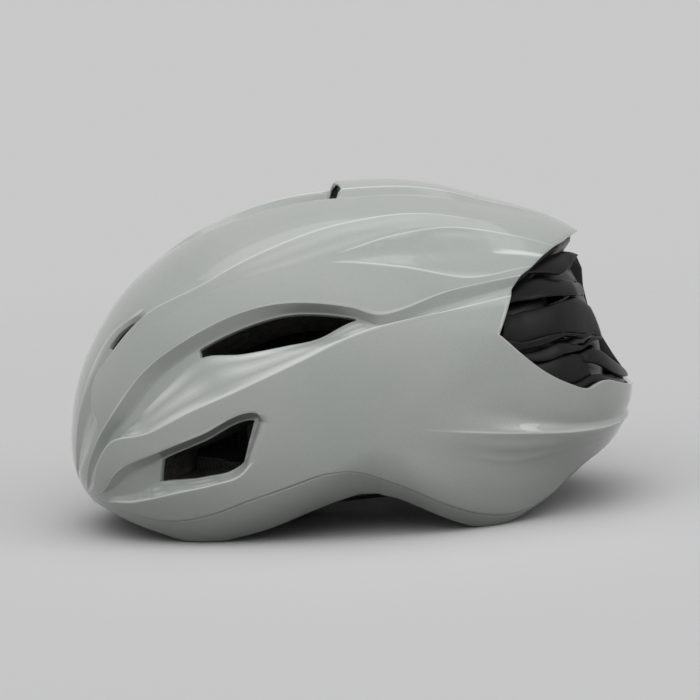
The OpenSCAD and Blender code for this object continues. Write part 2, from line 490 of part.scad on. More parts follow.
// Soft pad along a path on the cavity's wall, crowned, with its edges and ends drawn in
pad_j = [-1, -0.8, -0.4, 0, 0.4, 0.8, 1];
function pad_w(a) = 0.55 + 0.45 * sqrt(1 - pow(abs(a), 4));
function pad_depth(a, b, t) = t * (0.3 + 0.7 * (1 - pow(abs(a), 6)) * (1 - pow(abs(b), 4)));
module pad(path, side, w) {
    n = len(path) - 1;
    ring_sweep([for (i = [n:-1:0])
        let (a = 2 * i / n - 1)
        concat(
            [for (b = pad_j) in_cavity(path[i] + side * w * b * pad_w(a), pad_gap)],
            [for (k = [len(pad_j) - 1:-1:0])
                in_cavity(path[i] + side * w * pad_j[k] * pad_w(a), pad_gap + pad_depth(a, pad_j[k], pad_t))])
    ], false);
}
module brow_pad() color("#202224") set_down()
    pad([for (a = [-58:9.6667:58.1]) [5 - 105 * cos(a), 72 * sin(a), 42]], [0, 0, -1], pad_w2);
function over_crown(a, y) = [5 + 100 * cos(a), y, 60 + 78 * sin(a)];
module crown_pad(y) color("#202224") set_down()
    pad([for (a = [148:-10:38]) over_crown(a, y)], [0, 1, 0], pad_w1);
module crown_pad_left() crown_pad(-pad_y);
module crown_pad_right() crown_pad(pad_y);
module top_pad() color("#202224") set_down()
    pad([for (a = [132:-9:60]) over_crown(a, 0)], [0, 1, 0], pad_w1);

// Hook discs glued to the foam behind the pads, thicker where the foam falls away
module disc_at(p, more) {
    q = p - centre;
    u = q / norm(q);
    translate(in_cavity(p, hook_gap + hook_t)) rotate([0, acos(u[2]), atan2(u[1], u[0])])
        cylinder(h = hook_t + more, r = hook_r, $fn = 32);
}
module pad_hooks() color("dimgray") set_down() {
    disc_at([-100, 0, 42], 1);
    for (y = [-pad_y, pad_y]) {
        disc_at(over_crown(125, y), 0);
        disc_at(over_crown(90, y), 0.8);
        disc_at(over_crown(60, y), 0.2);
    }
    disc_at(over_crown(115, 0), 0.1);
    disc_at(over_crown(78, 0), 0.4);
}

// Strap anchors: plates on the foam's lower inner edge, each with two ears and a cross pin
module strap_anchor(x, side) color("black") set_down() mirrored(side) translate([x, -strap_y, strap_z]) {
    translate([-anchor_w / 2, -5.2, -3.5]) cube([anchor_w, 2, 7]);
    for (s = [-1, 1]) translate([s * (anchor_w - ear_t) / 2 - ear_t / 2, -3.2, -2.5]) cube([ear_t, 5.2, 5]);
    translate([-anchor_w / 2 + ear_t, 0, 0]) rotate([0, 90, 0]) cylinder(h = anchor_w - 2 * ear_t, r = pin_r, $fn = 32);
}
module strap_anchor_front_left() strap_anchor(front_x, -1);
module strap_anchor_front_right() strap_anchor(front_x, 1);
module strap_anchor_rear_left() strap_anchor(rear_x, -1);
module strap_anchor_rear_right() strap_anchor(rear_x, 1);

// Straps lie folded in under the helmet, in one plane that dips from the anchor pins to the middle
module strap_plane(side) set_down() mirrored(side) translate([0, -strap_y, strap_z]) rotate([-strap_dip, 0, 0]) children();
module slab(x0, x1, s0, s1, n0, n1) translate([x0, s0, n0]) cube([x1 - x0, s1 - s0, n1 - n0]);
module web(outline) translate([0, 0, web_n + 0.03]) linear_extrude(web_t - 0.06) polygon(outline);
module pin_loop(x) translate([x - web_w / 2, 0, 0]) rotate([0, 90, 0]) difference() {
    cylinder(h = web_w, r = web_n + web_t, $fn = 48);
    translate([0, 0, -1]) cylinder(h = web_w + 2, r = web_n, $fn = 48);
}
module front_webbing(side) color("black") strap_plane(side) {
    pin_loop(front_x);
    web([[front_x - web_w / 2, 0], [front_x + web_w / 2, 0], [div_x1 - 7.5, div_s0 - web_gap],
         [div_x0 + 5, div_s0 - web_gap]]);
}
module rear_webbing(side) color("black") strap_plane(side) {
    pin_loop(rear_x);
    web([[rear_x - web_w / 2, 3.2], [rear_x - web_w / 2, 0], [rear_x + web_w / 2, 0], [rear_x + web_w / 2, 3.2], [div_x1 + web_gap, div_s1 - 1.5], [div_x1 + web_gap, div_s0 + 0.5]]);
}
module chin_webbing(side) color("black") strap_plane(side)
    web([[buckle_x1 + web_gap, div_s0 + 0.5], [div_x0 - web_gap, div_s0 + 0.5],
         [div_x0 - web_gap, div_s0 + 0.5 + web_w], [buckle_x1 + web_gap, div_s0 + 0.5 + web_w]]);
module front_webbing_left() front_webbing(-1);
module front_webbing_right() front_webbing(1);
module rear_webbing_left() rear_webbing(-1);
module rear_webbing_right() rear_webbing(1);
module chin_webbing_left() chin_webbing(-1);
module chin_webbing_right() chin_webbing(1);

// Divider below the ear, where the straps meet, with a cam lever that locks them
module divider(side) color("black") strap_plane(side) {
    slab(div_x0, div_x1, div_s0, div_s1, 0.5, div_top);
    for (x = [div_x0 + 3, div_x1 - 5]) slab(x, x + 2, cam_s - 2, cam_s + 2, div_top, cam_n + 1.2);
    translate([div_x0 + 5, cam_s, cam_n]) rotate([0, 90, 0]) cylinder(h = div_x1 - div_x0 - 10, r = cam_pin_r, $fn = 32);
}
module cam_lever(side) color("black") strap_plane(side) translate([div_x0 + 5.3, cam_s, cam_n]) rotate([0, 90, 0])
    difference() {
        union() {
            cylinder(h = div_x1 - div_x0 - 10.6, r = cam_r, $fn = 48);
            translate([-0.9, -11, 0]) cube([1.8, 11, div_x1 - div_x0 - 10.6]);
        }
        translate([0, 0, -1]) cylinder(h = div_x1 - div_x0 - 8, r = cam_pin_r + fit, $fn = 32);
    }
module divider_left() divider(-1);
module divider_right() divider(1);
module cam_lever_left() cam_lever(-1);
module cam_lever_right() cam_lever(1);
module strap_keeper() color("black") strap_plane(-1) difference() {
    slab(keeper_x, keeper_x + 5, div_s0 - 0.8, div_s0 + web_w + 1.8, web_n - 1.3, web_n + web_t + 1.3);
    slab(keeper_x - 1, keeper_x + 6, div_s0 + 0.2, div_s0 + web_w + 0.8, web_n - 0.3, web_n + web_t + 0.3);
}

// Side-release buckle: socket on the left strap, plug with two springy prongs on the right one
buckle_s0 = div_s0 + 0.5 + web_w / 2 - buckle_w / 2;
buckle_s1 = buckle_s0 + buckle_w;
buckle_n = web_n + web_t / 2;
module buckle_socket() color("black") strap_plane(-1) difference() {
    slab(buckle_x0, buckle_x1, buckle_s0, buckle_s1, buckle_n - buckle_t / 2, buckle_n + buckle_t / 2);
    slab(buckle_x0 - 1, buckle_x1 - 5, buckle_s0 + 3, buckle_s1 - 3, buckle_n - 2.3, buckle_n + 2.3);
    slab(buckle_x0 + 7, buckle_x1 - 8, buckle_s0 - 1, buckle_s1 + 1, buckle_n - 1.8, buckle_n + 1.8);
}
module buckle_plug() color("black") strap_plane(1) {
    slab(plug_x, buckle_x1, buckle_s0, buckle_s1, buckle_n - buckle_t / 2 + 1, buckle_n + buckle_t / 2 - 1);
    slab(buckle_x0, plug_x, buckle_s0 + 9, buckle_s1 - 9, buckle_n - 1.5, buckle_n + 1.5);
}
module buckle_prong(s, out) color("black") strap_plane(1) {
    slab(buckle_x0, plug_x - web_gap, s - 1.1, s + 1.1, buckle_n - 1.6, buckle_n + 1.6);
    slab(buckle_x0 + 5, buckle_x0 + 9, s - 1.1 + min(out, 0), s + 1.1 + max(out, 0), buckle_n - 1.6, buckle_n + 1.6);
}
module buckle_prong_inner() buckle_prong(buckle_s1 - 4.2, 1.6);
module buckle_prong_outer() buckle_prong(buckle_s0 + 4.2, -1.6);

// Temple posts, glued to the foam by a boss above the cheek vent, clips that pitch on them,
// and belt arms that yaw on the clips
module temple_post(side) color("black") set_down() mirrored(side) translate([clip_x, 0, clip_z]) rotate([90, 0, 0]) {
    translate([0, 0, temple_y - 4.4]) linear_extrude(3.3) hull() {
        circle(r = 5, $fn = 48);
        translate([2.5, 8.5]) circle(r = 3, $fn = 48);
    }
    translate([2.5, 8.5, temple_y - 1.3]) cylinder(h = 1.5, r = 2.2, $fn = 48);
    translate([0, 0, temple_y - 9.8]) cylinder(h = 5.4, r = post_r, $fn = 48);
}
module temple_clip(side) color("black") set_down() mirrored(side) difference() {
    union() {
        translate([clip_x - 5, 4.7 - temple_y, clip_z - 5]) cube([8.5, 5.4, 10]);
        for (z = [clip_z - 5, clip_z + 3]) translate([clip_x + 3.5, 4.7 - temple_y, z]) cube([8, 5.4, 2]);
        translate([arm_x, -arm_y, clip_z - 3]) cylinder(h = 6, r = arm_pin_r, $fn = 32);
    }
    translate([clip_x, -50, clip_z]) rotate([90, 0, 0]) cylinder(h = 30, r = post_r + fit, $fn = 48);
}
module temple_post_left() temple_post(-1);
module temple_post_right() temple_post(1);
module temple_clip_left() temple_clip(-1);
module temple_clip_right() temple_clip(1);

arm_end = 22.5;
function belt_z(x) = clip_z - (clip_z - belt_end_z) * (x - arm_x) / (88 - arm_x);
function belt_xy(a, off) = [5 + (cos(a) < 0 ? 105 + off : belt_rear + off) * cos(a), -(cavity_w - 6 + off) * sin(a)];
belt_angles = [112:-5.5938:arm_end - 0.1];
module belt_plan() polygon(concat(
    [[arm_x + 1.7, -arm_y - belt_t / 2]], [for (a = belt_angles) belt_xy(a, belt_t / 2)],
    [for (a = [arm_end:5.5938:112.1]) belt_xy(a, -belt_t / 2)], [[arm_x + 1.7, -arm_y + belt_t / 2]]));
function belt_edge(h) = [[100, belt_z(100) + h * belt_h / 2], [arm_x + 8.5, belt_z(arm_x + 8.5) + h * belt_h / 2],
    [arm_x + 3.4, clip_z + h * 2.5], [arm_x, clip_z + h * 2.5]];
module belt_arm(side) color("#181818") set_down() mirrored(side) {
    intersection() {
        translate([0, 0, 15]) linear_extrude(60) belt_plan();
        translate([0, 1, 0]) rotate([90, 0, 0]) linear_extrude(90)
            polygon(concat(belt_edge(1), [for (i = [3:-1:0]) belt_edge(-1)[i]]));
    }
    translate([arm_x, -arm_y, clip_z - 2.7]) difference() {
        cylinder(h = 5.4, r = arm_pin_r + 1.3, $fn = 48);
        translate([0, 0, -1]) cylinder(h = 8, r = arm_pin_r + fit, $fn = 48);
    }
}
module belt_arm_left() belt_arm(-1);
module belt_arm_right() belt_arm(1);

// Dial: a knob turns a pinion between two racks, which draw the belt arms in
tooth_pitch = 2 * PI * pinion_r / pinion_teeth;
module tooth(h0, h1, w0, w1) polygon([[-w0 / 2, h0], [w0 / 2, h0], [w1 / 2, h1], [-w1 / 2, h1]]);
module pinion_outline() {
    circle(r = pinion_r - 0.9, $fn = 48);
    for (i = [0:pinion_teeth - 1]) rotate(i * 360 / pinion_teeth) tooth(pinion_r - 1.1, pinion_r + 0.65, 1.25, 0.5);
}
// Drawn with y across and z up, then stood on the dial's axis
module on_axis(x) set_down() translate([x, 0, dial_z]) rotate([90, 0, 90]) children();
module rack_outline() difference() {
    translate([-30, -rack_h / 2]) square([36.5, rack_h]);
    difference() {
        translate([-13.5, -pinion_r - 1.2]) square([18.8, 2 * pinion_r + 2.2]);
        for (i = [-6:1]) translate([(i + 0.5) * tooth_pitch, 0]) tooth(pinion_r + 1.1, pinion_r - 0.65, 1.2, 0.45);
    }
}
module rack_left() color("#202020") on_axis(rack_x) linear_extrude(rack_t) rack_outline();
module rack_right() color("#202020") on_axis(rack_x + rack_t + rack_gap) linear_extrude(rack_t) rotate(180) rack_outline();
module dial_pinion() color("gray") on_axis(rack_x - 0.1) linear_extrude(2 * rack_t + rack_gap + 0.4) difference() {
    pinion_outline();
    circle(r = screw_r + fit, $fn = 32);
}
house_x = rack_x - 0.5;
wall_x = rack_x + 2 * rack_t + rack_gap + 0.5;
back_x = wall_x + 2.6;
module dial_housing() color("black") on_axis(house_x) difference() {
    linear_extrude(back_x - house_x) rounded(30, rack_h + 9, 5);
    translate([-40, -rack_h / 2 - 0.4, -1]) cube([80, rack_h + 0.8, wall_x - house_x + 1]);
    cylinder(h = 30, r = hub_r + 0.3, $fn = 48);
}
module rounded(w, h, r) hull() for (x = [-1, 1]) for (y = [-1, 1])
    translate([x * (w / 2 - r), y * (h / 2 - r)]) circle(r = r, $fn = 32);
module housing_cover() color("black") on_axis(house_x - 2) difference() {
    linear_extrude(2) rounded(30, rack_h + 9, 5);
    translate([0, 0, -1]) cylinder(h = 4, r = screw_r + fit, $fn = 32);
}
knob_x = back_x + 2.4;
module dial_knob() color("#151515") on_axis(0) difference() {
    union() {
        translate([0, 0, knob_x]) cylinder(h = knob_t, r = knob_r, $fn = 96);
        translate([0, 0, wall_x - 0.2]) cylinder(h = knob_x - wall_x + 0.2, r = hub_r, $fn = 48);
    }
    translate([0, 0, wall_x - 1]) cylinder(h = 30, r = screw_r + fit, $fn = 32);
    translate([0, 0, knob_x + knob_t - 2]) cylinder(h = 5, r = 3.3, $fn = 48);
}
module dial_grip() color("#303030") on_axis(knob_x + 0.6) difference() {
    cylinder(h = knob_t - 1.2, r = knob_r + 1.4, $fn = 96);
    translate([0, 0, -1]) cylinder(h = knob_t + 2, r = knob_r + 0.05, $fn = 96);
    for (i = [0:23]) rotate(i * 15) translate([knob_r + 1.9, 0, -1]) cylinder(h = knob_t + 2, r = 1, $fn = 16);
}
module axle_screw() color("silver") on_axis(house_x - 1.9) {
    cylinder(h = knob_x + knob_t - house_x + 0.3, r = screw_r, $fn = 32);
    translate([0, 0, knob_x + knob_t - house_x + 0.2]) cylinder(h = 1.4, r = 3, $fn = 32);
}
module detent_spring() color("silver") on_axis(back_x + 0.2) {
    difference() {
        cylinder(h = 0.6, r = 9.5, $fn = 64);
        translate([0, 0, -1]) cylinder(h = 3, r = 5.5, $fn = 48);
    }
    for (a = [0, 180]) rotate(a) translate([7.5, 0, 0.6]) cylinder(h = 1.2, r = 1.2, $fn = 24);
}
stem_x = 94.8;
ladder_z0 = 46.6;
module height_stem() color("black") set_down()
    translate([stem_x, -7, dial_z + (rack_h + 9) / 2]) cube([1.5, 14, 61.5 - dial_z - (rack_h + 9) / 2]);
module height_ladder() color("black") set_down() difference() {
    translate([92.9, -10, ladder_z0]) cube([6.4, 20, 16.2]);
    translate([stem_x - 0.3, -7.4, ladder_z0 - 1]) cube([2.1, 14.8, 20]);
    translate([90, -5.5, ladder_z0 - 1]) cube([6, 11, 20]);
}
module nape_pad() color("#202224") set_down()
    ring_sweep([for (i = [8:-1:0])
        let (a = i / 4 - 1, y = a * 14, h = 9 * pad_w(a), x = house_x - 2.3)
        concat(
            [for (b = pad_j) [x, y, dial_z + h * b]],
            [for (k = [len(pad_j) - 1:-1:0]) [x - pad_depth(a, pad_j[k], 4.5), y, dial_z + h * pad_j[k]]])
    ], false);

outer_shell();
lower_shell();
foam_liner();
rear_outlet();
brow_pad();
crown_pad_left();
crown_pad_right();
top_pad();
nape_pad();
pad_hooks();
strap_anchor_front_left();
strap_anchor_front_right();
strap_anchor_rear_left();
strap_anchor_rear_right();
front_webbing_left();
front_webbing_right();
rear_webbing_left();
rear_webbing_right();
chin_webbing_left();
chin_webbing_right();
divider_left();
divider_right();
cam_lever_left();
cam_lever_right();
strap_keeper();
buckle_socket();
buckle_plug();
buckle_prong_inner();
buckle_prong_outer();
temple_post_left();
temple_post_right();
temple_clip_left();
temple_clip_right();
belt_arm_left();
belt_arm_right();
rack_left();
rack_right();
dial_housing();
housing_cover();
height_stem();
height_ladder();
detent_spring();
dial_knob();
dial_grip();
dial_pinion();
axle_screw();
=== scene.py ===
import json
import math

import bmesh
import bpy
import numpy as np
from mathutils import Matrix, Vector

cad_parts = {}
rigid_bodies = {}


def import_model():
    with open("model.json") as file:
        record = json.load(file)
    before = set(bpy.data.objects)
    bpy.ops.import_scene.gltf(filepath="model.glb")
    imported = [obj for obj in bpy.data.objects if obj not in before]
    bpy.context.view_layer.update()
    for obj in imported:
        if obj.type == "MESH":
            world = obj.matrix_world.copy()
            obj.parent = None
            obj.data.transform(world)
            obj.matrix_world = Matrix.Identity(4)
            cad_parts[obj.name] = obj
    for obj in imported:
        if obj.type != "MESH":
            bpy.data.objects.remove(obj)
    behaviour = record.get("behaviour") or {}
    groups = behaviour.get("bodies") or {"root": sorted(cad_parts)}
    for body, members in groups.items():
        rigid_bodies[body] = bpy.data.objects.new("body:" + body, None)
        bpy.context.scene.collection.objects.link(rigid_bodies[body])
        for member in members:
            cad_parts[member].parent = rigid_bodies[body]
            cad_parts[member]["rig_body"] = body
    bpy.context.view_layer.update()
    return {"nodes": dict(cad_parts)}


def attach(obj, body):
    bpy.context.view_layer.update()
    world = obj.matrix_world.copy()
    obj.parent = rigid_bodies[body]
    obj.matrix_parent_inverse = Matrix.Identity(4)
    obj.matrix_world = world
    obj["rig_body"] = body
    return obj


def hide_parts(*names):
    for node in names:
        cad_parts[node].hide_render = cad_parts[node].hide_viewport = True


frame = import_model()

# Camera, standing off the rider's left side and a little above the rim, tipped a few degrees
# because the helmet was set down tail up. The picture is 700 pixels square at half a millimetre each.
view_turn, view_rise, view_tilt = math.radians(-4), math.radians(7), math.radians(3.4)
stand_off, picture_w, sensor_w = 1.5, 0.35, 36
view_middle, aim_side, aim_up = Vector((-0.0005, 0, 0.0746)), -0.0005, 0.0055


def placed(name, data):
    """A new object in the scene"""
    made = bpy.data.objects.new(name, data)
    bpy.context.scene.collection.objects.link(made)
    return made


view_back = Vector((math.sin(view_turn) * math.cos(view_rise), -math.cos(view_turn) * math.cos(view_rise),
                    math.sin(view_rise)))
view_side = Vector((math.cos(view_turn), math.sin(view_turn), 0))
view_up = view_back.cross(view_side)
tipped_side = view_side * math.cos(view_tilt) - view_up * math.sin(view_tilt)
tipped_up = view_side * math.sin(view_tilt) + view_up * math.cos(view_tilt)
aim = view_middle + aim_side * tipped_side + aim_up * tipped_up
camera_data = bpy.data.cameras.new("camera")
camera_data.sensor_width = sensor_w
camera_data.lens = sensor_w * stand_off / picture_w
camera_data.clip_start, camera_data.clip_end = 0.1, 20
camera = placed("camera", camera_data)
stance = Matrix((tipped_side, tipped_up, view_back)).transposed().to_4x4()
stance.translation = aim + view_back * stand_off
camera.matrix_world = stance
bpy.context.scene.camera = camera

# Outer shell: one thin skin of polycarbonate from the crown to the crease above the rim, formed over
# the foam, trimmed at the vents with its edges turned in, and painted in a fine pearl gloss.
# Everything is drawn in millimetres above a datum, and set down in metres on the floor.
mm = 0.001
datum = np.array([0.5, 0, 9.4])
centre = np.array([5, 0, 60.0])
round_n, half_w = 2.3, 102
# The dome that every line is laid on, seen from the side: angles round its centre and its reach there
outline = np.array([
    [-94, 53], [-65, 71], [-54, 89], [-45, 101], [-38, 106], [-27, 110], [-15, 117], [-8, 127],
    [-1, 133], [10, 136.5], [20, 137.5], [29, 139], [36, 139], [42, 134], [49, 126.5], [58, 119],
    [67, 115], [78, 112], [90, 110.5], [99, 111.5], [108, 113], [118, 116], [129, 121],
    [140, 126.5], [151, 133.5], [160, 138], [169, 142.5], [178, 145.5], [188, 147], [196, 142],
    [203, 135], [208, 128], [216, 108], [224, 85], [244, 59], [266, 53]])


def curve(t, v, u, flat=False):
    """Smooth curve through v at the stations t; flat ones never overshoot"""
    t, v, u = np.asarray(t, float), np.asarray(v, float), np.asarray(u, float)
    one = v.ndim == 1
    if one:
        v = v[:, None]
    h = np.diff(t)[:, None]
    d = np.diff(v, axis=0) / h
    p = (d[1:] * h[:-1] + d[:-1] * h[1:]) / (h[:-1] + h[1:])
    m = np.zeros_like(v)
    if flat:
        least = np.minimum(np.minimum(abs(d[:-1]), abs(d[1:])), abs(p) / 2)
        m[1:-1] = (np.sign(d[:-1]) + np.sign(d[1:])) * least
    else:
        m[0], m[-1], m[1:-1] = d[0], d[-1], p
    i = np.clip(np.searchsorted(t, u, side="right") - 1, 0, len(t) - 2)
    step = (t[i + 1] - t[i])[..., None]
    s = (u - t[i])[..., None] / step
    out = (v[i] * (1 + 2 * s) * (1 - s) ** 2 + m[i] * step * s * (1 - s) ** 2
           + v[i + 1] * s * s * (3 - 2 * s) - m[i + 1] * step * s * s * (1 - s))
    return out[..., 0] if one else out


def dome_f(q):
    """How far out a place is from the centre, 1 on the dome"""
    angle = np.degrees(np.arctan2(q[..., 2], q[..., 0]))
    angle = np.where(angle < outline[0, 0], angle + 360, angle)
    reach = curve(outline[:, 0], outline[:, 1], angle)
    rho = np.hypot(q[..., 0], q[..., 2])
    return ((rho / reach) ** round_n + (abs(q[..., 1]) / half_w) ** round_n) ** (1 / round_n)


def on_dome(p, depth):
    """The dome's point in p's direction, lowered by depth"""
    q = np.asarray(p, float) - centre
    n = np.linalg.norm(q, axis=-1)
    return centre + q * ((n / dome_f(q) - depth) / n)[..., None]


# Depths of the side channel, the cheek vent, the nose slot and the top duct, and the hood's height
c1, c2, slot_d, duct_d, hood_h = 7, 8, 8, 9, 3.8
